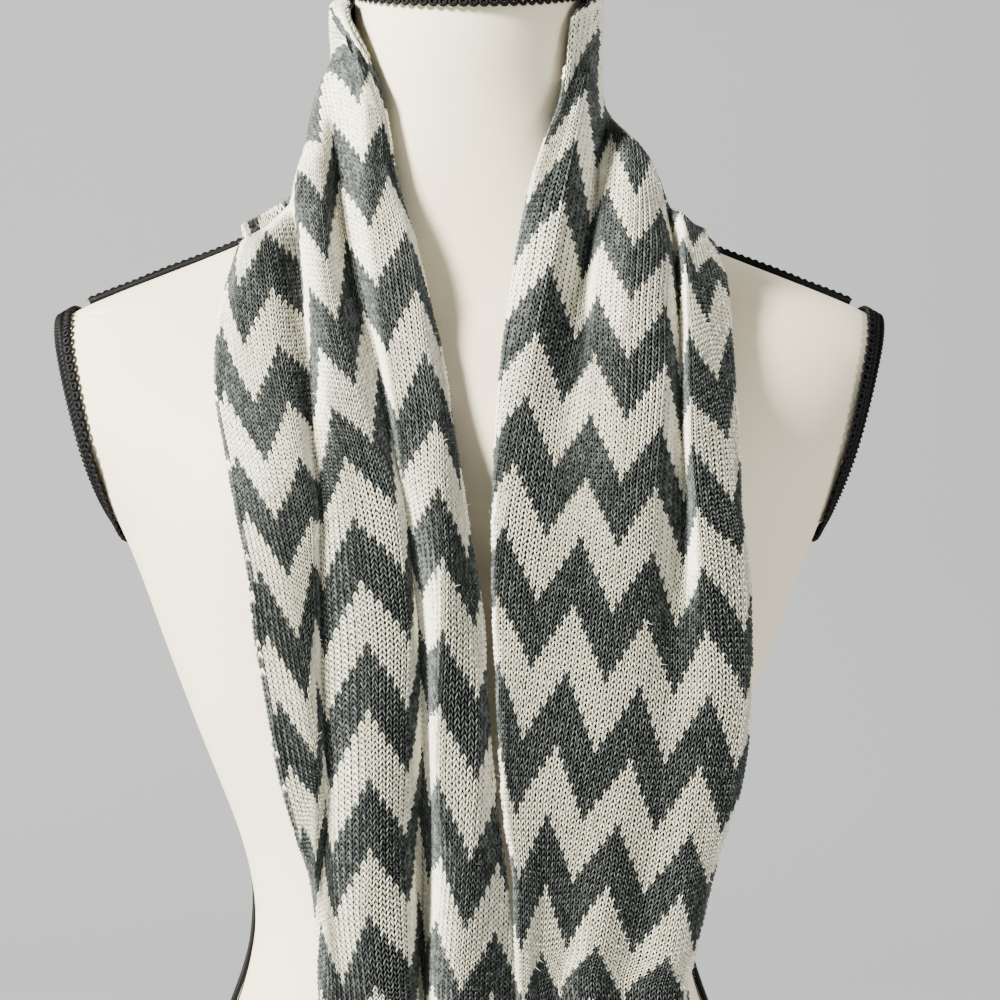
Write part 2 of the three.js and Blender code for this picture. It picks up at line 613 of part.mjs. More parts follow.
function sideRibbonGeometry(hand) {
  const levels = [1.5, 30, 60, 90, 120, 150, 180, 210, 235, 257, 280, 305, 330, 357, 385, 412, 436, 447];
  const stations = levels.map((z) => {
    const wander = THREE.MathUtils.lerp(0.16, -0.16, THREE.MathUtils.smoothstep(z, 225, 300));
    const at = coverPoint(z, Math.abs(wander), wander > 0 ? -1 : 1);
    at.x *= hand;
    const normal = coverNormal(at);
    const side = new THREE.Vector3(0, 1, 0).projectOnPlane(normal).normalize();
    return {
      at, side, out: normal, wide: [-RIBBON_WIDE / 2, RIBBON_WIDE / 2],
      low: TRIM_GAP, high: TRIM_GAP + RIBBON_THICK,
    };
  });
  return bandGeometry(stations, false);
}

// The front of the form grown by a lift, where the cloth's outer face lies
function clothDepth(x, z, lift) {
  const climb = THREE.MathUtils.smoothstep(z, 530, 575);
  const s = sectionAt(z - lift * 0.9 * climb);
  const share = Math.abs(x) / (s.half + lift);
  const deep = s.front + bustRise(x, z) + lift;
  const onForm = share < 1 ? s.middle - deep * (1 - share ** s.power) ** (1 / s.power) : s.middle;
  const hanging = -smoothTable(HANG, "z", "depth", z) - lift;
  const soft = 6;
  const mix = THREE.MathUtils.clamp(0.5 + (onForm - hanging) / (2 * soft), 0, 1);
  return onForm + (hanging - onForm) * mix - soft * mix * (1 - mix);
}

function clothFromFront(across, height, lift) {
  let y = -60;
  const p = new THREE.Vector3();
  for (let step = 0; step < 60; step += 1) {
    const near = (y - VIEWPOINT.y) / -VIEWPOINT.y;
    p.set(VIEWPOINT.x + (across - VIEWPOINT.x) * near, y, VIEWPOINT.z + (height - VIEWPOINT.z) * near);
    y += (clothDepth(p.x, p.z, lift) - y) * 0.35;
  }
  return p;
}

// Round the neck: the form grown by a lift, at a bearing seen from above
function clothRoundNeck(bearing, height, lift) {
  const climb = THREE.MathUtils.smoothstep(height, 600, 560);
  const s = sectionAt(height - lift * 0.9 * climb);
  const c = Math.cos(bearing);
  const n = Math.sin(bearing);
  const deep = (n < 0 ? s.front : s.back) + lift;
  const radius = ((Math.abs(c) / (s.half + lift)) ** s.power + (Math.abs(n) / deep) ** s.power) ** (-1 / s.power);
  return new THREE.Vector3(radius * c, s.middle + radius * n, height);
}

function frontRow(row) {
  const points = row.across.map((x, i) => clothFromFront(x, row.height[i], row.lift[i]));
  return { course: row.course, wales: row.wales, points };
}

function turnRow(row) {
  const angle = THREE.MathUtils.degToRad(row.degrees);
  const share = THREE.MathUtils.smoothstep(row.degrees, 180, 360);
  const wales = LEFT_FALL.at(-1).wales.map((w, i) => w + (RIGHT_FALL.at(-1).wales[i] - w) * share);
  const points = TURN_RADII.map((radius, i) => {
    const z = TURN_CENTRE.z + radius * Math.sin(angle);
    const y = -smoothTable(HANG, "z", "depth", z) - row.lift[i];
    return new THREE.Vector3(TURN_CENTRE.x + radius * Math.cos(angle), y, z);
  });
  return { course: row.course, wales, points };
}

function wrapRow(row) {
  const share = (row.course - RIGHT_FALL[0].course) / (LEFT_FALL[0].course + LOOP_COURSES - RIGHT_FALL[0].course);
  const wales = RIGHT_FALL[0].wales.map((w, i) => w + (LEFT_FALL[0].wales[i] - w) * share);
  const points = row.height.map((height, i) => clothRoundNeck(
    THREE.MathUtils.degToRad(row.bearing[i]), height, row.lift[i]));
  return { course: row.course, wales, points };
}

// All the sections of the loop, in the order of their courses
function loopSections() {
  const rows = [
    ...LEFT_FALL.map(frontRow),
    ...TURN.map(turnRow),
    ...RIGHT_FALL.map(frontRow).reverse(),
    ...WRAP.map(wrapRow),
  ];
  for (const row of rows) {
    const { points } = row;
    const pull = (end, next) => points[end].addScaledVector(
      points[next].clone().sub(points[end]).normalize(), EDGE_ROUND);
    pull(0, 1);
    pull(points.length - 1, points.length - 2);
  }
  return rows;
}

const SECTIONS = loopSections();

// A smooth curve's way at its middle point of three, never so long that the curve overshoots
const OVERSHOOT = 1.6;
function wayThrough(before, at, after, spanBefore, spanAfter) {
  const way = after.clone().sub(before).divideScalar(spanBefore + spanAfter);
  const slower = Math.min(at.distanceTo(before) / spanBefore, after.distanceTo(at) / spanAfter);
  return way.clampLength(0, OVERSHOOT * slower);
}

function curvePoint(t, span, a, b, wayA, wayB) {
  const on = (axis) => hermite(t, a[axis], b[axis], wayA[axis] * span, wayB[axis] * span);
  return new THREE.Vector3(on("x"), on("y"), on("z"));
}

// The columns' places on any course of the endless loop
function columnsAt(course) {
  const count = SECTIONS.length;
  const first = SECTIONS[0].course;
  const turned = first + THREE.MathUtils.euclideanModulo(course - first, LOOP_COURSES);
  const section = (i) => SECTIONS[THREE.MathUtils.euclideanModulo(i, count)];
  const courseOf = (i) => section(i).course + Math.floor(i / count) * LOOP_COURSES;
  let i = 0;
  while (courseOf(i + 1) <= turned) i += 1;
  const span = courseOf(i + 1) - courseOf(i);
  const t = (turned - courseOf(i)) / span;
  return section(0).points.map((_, column) => {
    const at = (k) => section(k).points[column];
    const way = (k) => wayThrough(at(k - 1), at(k), at(k + 1),
      courseOf(k) - courseOf(k - 1), courseOf(k + 1) - courseOf(k));
    return {
      wale: THREE.MathUtils.lerp(section(i).wales[column], section(i + 1).wales[column], t),
      at: curvePoint(t, span, at(i), at(i + 1), way(i), way(i + 1)),
    };
  });
}

// One section's outer face, from the outer to the inner edge
const STEPS_PER_COLUMN = 2;
function sectionLine(course) {
  const columns = columnsAt(course);
  const last = columns.length - 1;
  const way = (k) => {
    if (k > 0 && k < last) {
      const [a, b, c] = [columns[k - 1], columns[k], columns[k + 1]];
      return wayThrough(a.at, b.at, c.at, b.wale - a.wale, c.wale - b.wale);
    }
    const [a, b] = k === 0 ? [columns[0], columns[1]] : [columns[last - 1], columns[last]];
    return b.at.clone().sub(a.at).divideScalar(b.wale - a.wale);
  };
  return range(last * STEPS_PER_COLUMN + 1).map((k) => {
    const i = Math.min(Math.floor(k / STEPS_PER_COLUMN), last - 1);
    const t = k / STEPS_PER_COLUMN - i;
    const [a, b] = [columns[i], columns[i + 1]];
    return curvePoint(t, b.wale - a.wale, a.at, b.at, way(i), way(i + 1));
  });
}

// Over a braid the cloth lies higher
function clearanceAt(p) {
  const level = p.z - neckShear(p.y, p.z);
  const aside = Math.abs(p.y - sectionAt(level).middle);
  const onShoulder = THREE.MathUtils.smoothstep(level, 560, 575) * THREE.MathUtils.smoothstep(-aside, -26, -9);
  const onNeckBraid = THREE.MathUtils.smoothstep(level, NECK_BRAID.low - 12, NECK_BRAID.low - 3);
  return CLOTH_CLEAR + BRAID_CLEAR * Math.max(onShoulder, onNeckBraid);
}

// The move that brings a point of the cloth's inner face clear of the cover
function pushClear(inner) {
  const at = inner.clone();
  for (let round = 0; round < 4; round += 1) {
    const slope = coverSlope(at);
    const steep = slope.length();
    const distance = (coverValue(at) - 1) / steep;
    const lack = clearanceAt(at) - distance;
    if (lack > 0) at.addScaledVector(slope, lack / steep);
  }
  return at.sub(inner);
}

// One ring of the flattened tube round a section: outer face, inner edge, inner face, outer edge
const NEARBY = 1.5; // courses, for the way along the cloth
const TUCKED_FROM = 456; // past this course the outer edge tucks under behind the shoulder
function scarfRing(course) {
  const line = sectionLine(course);
  const before = sectionLine(course - NEARBY);
  const after = sectionLine(course + NEARBY);
  const last = line.length - 1;
  const faces = line.map((p, j) => {
    const along = after[j].clone().sub(before[j]);
    const across = line[Math.min(j + 1, last)].clone().sub(line[Math.max(j - 1, 0)]);
    const out = along.cross(across).normalize();
    if (course > TUCKED_FROM && out.dot(coverNormal(p)) < 0) out.negate();
    const inner = p.clone().addScaledVector(out, -WALL);
    const push = pushClear(inner);
    return { outer: p.clone().add(push), inner: inner.add(push) };
  });
  const middle = (j) => faces[j].outer.clone().lerp(faces[j].inner, 0.5);
  const edge = (end, next) => {
    const way = middle(end).sub(middle(next)).normalize();
    return middle(end).addScaledVector(way, EDGE_ROUND);
  };
  return [
    ...faces.map((f) => f.outer),
    edge(last, last - 1),
    ...faces.map((f) => f.inner).reverse(),
    edge(0, 1),
  ];
}

// A stretch of the tube, with its two cut ends closed straight across the wall
function scarfGeometry(from, to, steps) {
  const rings = range(steps + 1).map((i) => scarfRing(from + ((to - from) * i) / steps));
  const size = rings[0].length;
  const count = size / 2 - 1;
  const faces = bridgeRings(rings.length, size, false);
  const lid = (first, isStart) => {
    const add = (a, b, c) => faces.push(isStart ? [a, c, b] : [a, b, c]);
    const twin = (j) => first + 2 * count - j;
    for (let j = 0; j < count - 1; j += 1) {
      add(first + j, first + j + 1, twin(j + 1));
      add(first + j, twin(j + 1), twin(j));
    }
    add(first, twin(0), first + 2 * count + 1);
    add(first + count - 1, first + count, twin(count - 1));
  };
  lid(0, true);
  lid((rings.length - 1) * size, false);
  return closedGeometry(rings.flat(), faces);
}

const COVER = { color: 0xf0e8da, roughness: 0.85, metalness: 0 };
const BRAID = { color: 0x17171a, roughness: 0.6, metalness: 0 };
const KNIT = { color: 0x8d8f8a, roughness: 0.95, metalness: 0 };

function named(name, geometry, look) {
  const mesh = new THREE.Mesh(geometry, new THREE.MeshStandardMaterial(look));
  mesh.name = name;
  return mesh;
}

function dressForm() {
  const form = new THREE.Group();
  form.add(named("form_torso", torsoGeometry(), COVER));
  form.add(named("form_neck_cap", neckCapGeometry(), COVER));
  form.add(named("braid_neck", neckBraidGeometry(), BRAID));
  for (const [side, hand] of [["left", -1], ["right", 1]]) {
    form.add(named(`form_arm_plate_${side}`, armPlateGeometry(hand), COVER));
    form.add(named(`braid_arm_${side}`, armBraidGeometry(hand), BRAID));
    form.add(named(`braid_shoulder_${side}`, shoulderBraidGeometry(hand), BRAID));
    form.add(named(`ribbon_side_${side}`, sideRibbonGeometry(hand), BRAID));
  }
  return form;
}

// The loop is cut into four stretches, a small gap apart, half of it taken from each
function infinityScarf() {
  const scarf = new THREE.Group();
  const courseSize = 2.6;
  const trim = STRETCH_GAP / courseSize;
  const stretches = [
    { name: "scarf_left_fall", from: -12, to: 156, steps: 28 },
    { name: "scarf_lower_turn", from: 156, to: 288, steps: 26 },
    { name: "scarf_right_fall", from: 288, to: 456, steps: 28 },
    { name: "scarf_neck_wrap", from: 456, to: 564, steps: 36 },
  ];
  for (const { name, from, to, steps } of stretches) {
    scarf.add(named(name, scarfGeometry(from + trim, to - trim, steps), KNIT));
  }
  return scarf;
}

const part = new THREE.Group();
part.add(dressForm());
part.add(infinityScarf());

export default part;
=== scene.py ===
# %% [markdown]
# # A knitted infinity scarf on a dress form
# This lesson dresses a CAD model of a scarf that hangs as one long loop round the neck of a
# limbless dress form. The solids fix every size and place, and each cell here adds what makes a
# surface look like its real stuff: stitches, braid, cloth and light.

import math

import bmesh
import bpy
import numpy as np
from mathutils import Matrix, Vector


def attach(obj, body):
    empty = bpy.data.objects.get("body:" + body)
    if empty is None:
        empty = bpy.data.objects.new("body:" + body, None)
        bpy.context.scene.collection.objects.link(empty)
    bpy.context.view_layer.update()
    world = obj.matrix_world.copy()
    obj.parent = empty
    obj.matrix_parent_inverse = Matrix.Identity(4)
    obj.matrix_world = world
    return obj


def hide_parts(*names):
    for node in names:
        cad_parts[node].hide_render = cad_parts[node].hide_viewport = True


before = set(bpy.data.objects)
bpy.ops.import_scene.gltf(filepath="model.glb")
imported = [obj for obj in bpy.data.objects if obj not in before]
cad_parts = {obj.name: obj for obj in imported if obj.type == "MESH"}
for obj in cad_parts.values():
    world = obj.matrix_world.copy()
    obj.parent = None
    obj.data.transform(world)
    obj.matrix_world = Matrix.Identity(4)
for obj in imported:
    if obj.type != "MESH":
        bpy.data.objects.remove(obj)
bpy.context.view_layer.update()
MM = 0.001
print("nodes in the frame:", len(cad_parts))

# %% [markdown]
# ## The camera
# A product photograph is taken from about the height of the middle of the goods, with a lens
# longer than the eye's, so that near folds don't swell. The camera stands level in front of the
# chest. Half a metre of the shoulders' plane fills the frame's width, which fixes the lens.

# %% Camera
VIEWPOINT = {"x": 15.0, "y": -950.0, "z": 470.0}  # millimetres
SENSOR = 36.0
FRAME_WIDE = 500.0  # millimetres across, in the plane of the shoulders

camera_data = bpy.data.cameras.new("camera")
camera_data.sensor_width = SENSOR
camera_data.lens = SENSOR * -VIEWPOINT["y"] / FRAME_WIDE
camera = bpy.data.objects.new("camera", camera_data)
bpy.context.collection.objects.link(camera)
camera.location = [VIEWPOINT[axis] * MM for axis in "xyz"]
camera.rotation_euler = (math.radians(90), 0, 0)
bpy.context.scene.camera = camera
print("lens", round(camera_data.lens, 1))

# %% [markdown]
# ## Light and room
# Cloth shows its folds when one large soft light stands to a side and a weaker one fills the
# shadows. The key light is high on the left, so each fold is bright on its left and shaded on its
# right, and each fall throws a soft shadow on the form to its right.

# %% Lights
CHEST = (0, 0, 0.5)
LIGHTS = {
    "key_light": {"place": (-1.75, -1.25, 1.4), "size": 0.5, "watts": 305, "tint": (1.0, 0.98, 0.92)},
    "fill_light": {"place": (2.2, -0.75, 0.9), "size": 0.8, "watts": 34, "tint": (1.0, 0.98, 0.95)},
    "rim_light": {"place": (0.7, 1.1, 1.3), "size": 0.9, "watts": 4, "tint": (1.0, 1.0, 1.0)},
}
ROOM_TINT = (0.64, 0.65, 0.66, 1)
ROOM_GLOW = 0.45


def area_light(name, place, size, watts, tint):
    """A square, soft light that is turned to the chest."""
    data = bpy.data.lights.new(name, "AREA")
    data.size = size
    data.energy = watts
    data.color = tint
    light = bpy.data.objects.new(name, data)
    bpy.context.collection.objects.link(light)
    light.location = place
    way = Vector(CHEST) - Vector(place)
    light.rotation_euler = way.to_track_quat("-Z", "Y").to_euler()


for name, lamp in LIGHTS.items():
    area_light(name, **lamp)
world = bpy.data.worlds.new("studio")
world.use_nodes = True
background = world.node_tree.nodes["Background"]
background.inputs["Color"].default_value = ROOM_TINT
background.inputs["Strength"].default_value = ROOM_GLOW
bpy.context.scene.world = world

# %% [markdown]
# ## Shader maths in plain Python
# A material is a small graph of nodes, and its sums are hard to read when each one is a node with
# sockets. Here a socket is wrapped in a class whose operators add the Math nodes, so that a
# pattern can be written as a formula. One method adds any other node.

# %% A socket that can be added, multiplied and compared


class Wire:
    """One output socket, or a step of arithmetic on it."""

    def __init__(self, look, socket):
        self.look = look
        self.socket = socket

    def sum(self, operation, *values):
        return self.look.add("ShaderNodeMath", {"operation": operation}, dict(enumerate(values)))

    def __add__(self, other):
        return self.sum("ADD", self, other)

    __radd__ = __add__

    def __mul__(self, other):
        return self.sum("MULTIPLY", self, other)

    __rmul__ = __mul__

    def __sub__(self, other):
        return self.sum("SUBTRACT", self, other)

    def __rsub__(self, other):
        return self.sum("SUBTRACT", other, self)

    def __truediv__(self, other):
        return self.sum("DIVIDE", self, other)

    def __mod__(self, other):
        return self.sum("FLOORED_MODULO", self, other)

    def __abs__(self):
        return self.sum("ABSOLUTE", self)

    def __lt__(self, other):
        return self.sum("LESS_THAN", self, other)

    def floor(self):
        return self.sum("FLOOR", self)

    def sine(self):
        return self.sum("SINE", self)


class Look:
    """A material under construction, with one method that adds any node."""

    def __init__(self, name, **finish):
        self.material = bpy.data.materials.new(name)
        self.material.use_nodes = True
        self.tree = self.material.node_tree
        self.shader = self.tree.nodes["Principled BSDF"]
        for socket, value in finish.items():
            self.shader.inputs[socket.replace("_", " ")].default_value = value

    def feed(self, socket, value):
        if isinstance(value, Wire):
            self.tree.links.new(value.socket, socket)
        else:
            socket.default_value = value

    def add(self, kind, settings=None, inputs=None, output=0):
        node = self.tree.nodes.new(kind)
        for name, value in (settings or {}).items():
            if name == "stops":
                set_stops(node.color_ramp, value)
            else:
                setattr(node, name, value)
        for name, value in (inputs or {}).items():
            self.feed(node.inputs[name], value)
        return Wire(self, node.outputs[output])

    def place(self):
        return self.add("ShaderNodeTexCoord", output="Object")

    def parts(self, vector):
        """A vector's three numbers."""
        first = self.add("ShaderNodeSeparateXYZ", None, {0: vector})
        return [Wire(self, socket) for socket in first.socket.node.outputs]

    def noise(self, scale, detail=2.0, roughness=0.5):
        inputs = {"Vector": self.place(), "Scale": scale, "Detail": detail, "Roughness": roughness}
        return self.add("ShaderNodeTexNoise", None, inputs)

    def ramp(self, factor, stops):
        return self.add("ShaderNodeValToRGB", {"stops": stops}, {"Fac": factor})

    def blend(self, factor, a, b, blend_type="MIX"):
        settings = {"data_type": "RGBA", "blend_type": blend_type}
        return self.add("ShaderNodeMix", settings, {0: factor, 6: a, 7: b}, output=2)

    def bump(self, height, strength, distance):
        inputs = {"Height": height, "Strength": strength, "Distance": distance}
        self.feed(self.shader.inputs["Normal"], self.add("ShaderNodeBump", None, inputs))

    def wear(self, socket, value):
        self.feed(self.shader.inputs[socket], value)


def set_stops(ramp, stops):
    while len(ramp.elements) < len(stops):
        ramp.elements.new(1.0)
    for element, (place, colour) in zip(ramp.elements, stops):
        element.position = place
        element.color = colour


def rgb(red, green, blue):
    """A colour as the eye names it, 0 to 255, in the linear light that shaders use."""
    linear = [((c / 255 + 0.055) / 1.055) ** 2.4 if c > 10 else c / 3294.6 for c in (red, green, blue)]
    return (*linear, 1.0)


print("one thread of cream yarn is", [round(c, 2) for c in rgb(226, 219, 201)])

# %% [markdown]
# ## The shape of the dress form
# The scarf lies on the form, so its shape has to be known here in the same way as in the CAD
# source: a row for each level, with the half width, the depths before and behind the middle, the
# middle's own place and the fullness of the oval. Smooth curves run through the rows.

# %% The form's table
TORSO = {
    "z": [0, 60, 120, 180, 220, 257, 300, 347, 402, 457.5, 500]
    + [541, 561, 580, 597, 612, 628, 645, 665, 690, 727],
    "half": [160, 166, 158, 134, 117, 106, 112, 131, 152, 173.5, 203]
    + [215, 202, 158.5, 115, 88, 72, 63, 58.5, 57, 57],
    "front": [96, 99, 96, 89, 85, 82, 84, 90, 95, 97, 90, 75, 65, 57, 53, 52, 52, 53, 54, 56, 57],
    "back": [112, 122, 120, 99, 86, 78, 80, 86, 92, 96, 96, 92, 86, 79, 73, 68, 63, 59, 57, 56, 56],
    "middle": [0] * 11 + [1, 3, 4, 4, 4, 3, 1, -2, -5, -8],
    "power": [2.2] * 8 + [2.25, 2.3, 2.3, 2.3, 2.3, 2.25, 2.2, 2.15, 2.1, 2.05, 2, 2, 2],
}
NECK_TOP = 727.0
NECK_SLOPE = 0.37
NECK_SLOPE_STARTS = 650.0
BUST = {"x": 85.0, "z": 470.0, "rise": 21.0, "wide": 47.0, "tall": 56.0}
HANG = {
    "z": [30, 120, 200, 300, 400, 470, 520, 640],
    "depth": [102, 104, 106, 108, 109, 106, 80, 20],
}


def hermite(t, a, b, way_a, way_b):
    """The place at a share t of a smooth curve between two points with a way at each."""
    t2 = t * t
    t3 = t2 * t
    return (2 * t3 - 3 * t2 + 1) * a + (t3 - 2 * t2 + t) * way_a + (3 * t2 - 2 * t3) * b + (t3 - t2) * way_b


def smooth_table(table, name, at):
    """Values of one column on a smooth curve through the rows, by height."""
    heights = np.array(table["z"], float)
    values = np.array(table[name], float)
    last = len(heights) - 1
    before = np.clip(np.arange(last + 1) - 1, 0, last)
    after = np.clip(np.arange(last + 1) + 1, 0, last)
    slopes = (values[after] - values[before]) / (heights[after] - heights[before])
    x = np.clip(at, heights[0], heights[-1])
    i = np.clip(np.searchsorted(heights, x) - 1, 0, last - 1)
    span = heights[i + 1] - heights[i]
    t = (x - heights[i]) / span
    return hermite(t, values[i], values[i + 1], slopes[i] * span, slopes[i + 1] * span)


def smooth_step(x, low, high):
    t = np.clip((x - low) / (high - low), 0, 1)
    return t * t * (3 - 2 * t)


def section_at(z):
    return {name: smooth_table(TORSO, name, z) for name in TORSO if name != "z"}


def bust_rise(x, z):
    across = (np.abs(x) - BUST["x"]) / BUST["wide"]
    up = (z - BUST["z"]) / BUST["tall"]
    return BUST["rise"] * np.exp(-across * across - up * up)


NECK_MIDDLE = float(section_at(np.array(NECK_TOP))["middle"])
SLOPE_STEP = 0.5  # millimetres


def neck_shear(y, z):
    return smooth_step(z, NECK_SLOPE_STARTS, NECK_TOP) * NECK_SLOPE * (y - NECK_MIDDLE)


def cover_value(p):
    """1 on the form's cover, more outside it, for an array of points."""
    x, y, z = p[..., 0], p[..., 1], p[..., 2]
    s = section_at(z - neck_shear(y, z))
    deep = np.where(y < s["middle"], s["front"] + bust_rise(x, z), s["back"])
    total = (np.abs(x) / s["half"]) ** s["power"] + (np.abs(y - s["middle"]) / deep) ** s["power"]
    return total ** (1 / s["power"])


def cover_slope(p):
    """The way in which the cover's value grows fastest, which is straight out of the cover."""
    moves = np.eye(3) * SLOPE_STEP
    parts = [(cover_value(p + move) - cover_value(p - move)) / (2 * SLOPE_STEP) for move in moves]
    return np.stack(parts, axis=-1)


print("neck round", round(2 * math.pi * TORSO["half"][-1]), "mm")

# %% [markdown]
# ## The shape of the scarf
# The scarf is a knitted tube, pressed flat and joined end to end. Its shape is drawn as a tailor
# would chart it: each row of a table is one section across the cloth, from the outer edge to the
# inner edge, and each column is a fold or a crease. A row names the course (the knitted row) where
# it lies and the wales (the knitted columns) that pass through its points. The two falls are laid
# out as they look from the camera, so the folds land where the photograph has them.

# %% The scarf's tables
WALL = 3.0
EDGE_ROUND = 1.4
CLOTH_CLEAR = 1.4
BRAID_CLEAR = 3.5
NECK_BRAID_LOW = NECK_TOP - 6.5
FIRST_COURSE = -12
LOOP_COURSES = 576
STITCH = 2.6  # millimetres, both ways
FALL_COLUMNS = ["course", "wales", "across", "height", "lift"]


def named_rows(columns, rows):
    """Rows of a table, each value under its column's name, and lists as arrays."""
    return [dict(zip(columns, (np.array(value, float) for value in row))) for row in rows]


LEFT_FALL = named_rows(FALL_COLUMNS, [
    (-12,
     [-6, *range(0, 37, 6), 40, 42, 44],
     [-115, -110, -101.5, -90, -85.5, -75, -67.5, -55.5, -47.5, -43.5, -40.5],
     [598, 601, 604, 617, 634.5, 648, 658, 667.5, 662.5, 658, 655.5],
     [5, 8, 10, 6, 12, 14, 8, 12, 11, 9.3, 7.5]),
    (0,
     [-6.5, *range(0, 37, 6), 41, 43, 45.5],
     [-122, -115.5, -99, -85.5, -84.5, -74, -65.5, -53.5, -43, -39.5, -35.5],
     [578, 577, 575.5, 589, 608, 620.5, 628.5, 638.5, 633, 630, 628],
     [5, 9, 11, 5, 12, 15, 7, 13, 13, 10, 7.5]),
    (12,
     [-7, *range(0, 37, 6), 42, 44.5, 47],
     [-126.5, -112.5, -96, -83, -80, -71.5, -62, -50, -32.5, -29, -27],
     [558, 547.5, 547, 561, 576, 590, 599, 606.5, 603.5, 601.5, 599.5],
     [5, 10, 12, 5, 12, 15, 6.5, 13, 13, 10, 7.5]),
    (24,
     [-7.5, *range(0, 37, 6), 42, 45.5, 48],
     [-127.5, -107.5, -91, -80.5, -75, -66.5, -53.5, -46.5, -27, -22.5, -20],
     [525, 519, 518.5, 533, 545.5, 560, 563.5, 576.5, 574, 572, 570.5],
     [5, 10, 12, 5, 12.5, 15, 6, 12, 13.5, 10, 7.5]),
    (36,
     [-8, *range(0, 37, 6), 42, 46, 49],
     [-122.5, -102, -85.5, -78.5, -69, -57.5, -46, -41, -23, -16, -13],
     [492, 489, 490.5, 504, 516, 527.5, 535, 543.5, 543, 541.5, 541],
     [5, 10, 12, 5.5, 13, 14.5, 6, 11, 14, 10, 8]),
    (48,
     [-8, *range(0, 37, 6), 42, 46, 49.5],
     [-117.5, -97, -79.5, -75.5, -62.5, -48.5, -40, -36, -17.5, -10.5, -8],
     [464.5, 460.5, 461.5, 478, 491, 498, 505, 510, 509, 508, 508],
     [5, 10, 11, 6.5, 13, 14, 6, 10, 14.5, 11, 8]),
    (60,
     [-8, *range(0, 37, 6), 42, 46, 50],
     [-111.5, -90.5, -78.5, -74, -58, -37.5, -34, -33, -16, -7, -2.5],
     [434.5, 431.5, 439, 458, 460, 467.5, 475.5, 480, 475.5, 474.5, 474],
     [5, 10, 10, 7, 13, 13, 6, 9, 15, 11, 8]),
    (72,
     [-8, *range(0, 37, 6), 42, 46, 50],
     [-108, -86, -77.5, -73, -54.5, -33, -30.5, -28, -13.5, -4.5, 2.5],
     [402, 401, 410, 425, 429, 433, 443, 452, 440.5, 441, 441],
     [5.5, 10.5, 9, 6.5, 13, 12, 5.5, 8, 15.5, 12, 8.5]),
    (84,
     [-8, *range(0, 37, 6), 42, 46, 50],
     [-102, -81.5, -77, -72, -51.5, -30.5, -26.5, -23, -13.5, -2, 7.5],
     [368, 370, 379, 392, 397.5, 399.5, 410.5, 420, 404, 406, 408],
     [6, 11, 8, 6, 13, 11, 5, 7.5, 16, 13, 8.5]),
    (96,
     [-8, *range(0, 37, 6), 42, 48, 50],
     [-96.5, -77, -74.5, -71, -51, -31.5, -25, -20.5, -15, 3.5, 9],
     [335, 340, 347.5, 359.5, 364.5, 365.5, 380, 392.5, 367, 370.5, 372],
     [6, 10, 8, 6, 14, 11, 4, 7, 15, 13, 8.5]),
    (108,
     [-8, *range(0, 37, 6), 42, 48, 51.5],
     [-87, -76.5, -72.5, -69, -50.5, -31.5, -24.5, -20, -16, 3, 12.5],
     [301, 318, 320, 325.5, 330, 333.5, 347, 358, 331, 330, 330.5],
     [6, 9.5, 8, 7, 15, 11, 2, 5, 14, 15, 8.5]),
    (120,
     [-5, *range(0, 37, 6), 42, 48, 55],
     [-80.5, -77, -73, -68.5, -50, -32.5, -26, -20, -14.5, 0, 17.5],
     [282, 289, 291, 293.5, 295, 303, 311, 316, 291, 290, 287],
     [6, 9, 8, 9, 16, 11, -1, 1, 12, 16, 8.5]),
    (132,
     [2, 5, 8, 12, 18, 24, 30, 36, 42, 48, 57],
     [-77, -75, -72, -67, -50.5, -31, -26.5, -20.5, -16.5, -2.5, 21.5],
     [255, 257, 259, 261, 261.5, 268.5, 273.5, 277, 259, 255.5, 252.5],
     [7, 9, 11, 12, 17, 12, -3, -3, 11, 17, 8.5]),
    (144,
     [5, 7, 9, 12, 18, 24, 30, 36, 42, 48, 58],
     [-76, -73, -69.5, -63.5, -47.5, -30, -26, -21.5, -18.5, -4.5, 22.5],
     [224, 225, 226.5, 228, 226.5, 237, 241, 243, 227, 224.5, 223],
     [7, 9.5, 11.5, 13, 17, 13, -3, -3, 10, 18, 8.5]),
    (156,
     [6, 8, 10, 12, 18, 24, 30, 36, 42, 48, 58],
     [-75, -72, -68, -61.5, -45, -29.5, -25, -21, -17.5, -4.5, 23.5],
     [192, 193, 194.5, 196, 194, 204, 208, 210, 196, 192.5, 191],
     [7, 9.5, 11.5, 13, 17, 13, 1, 1, 10, 18, 8.5]),
])

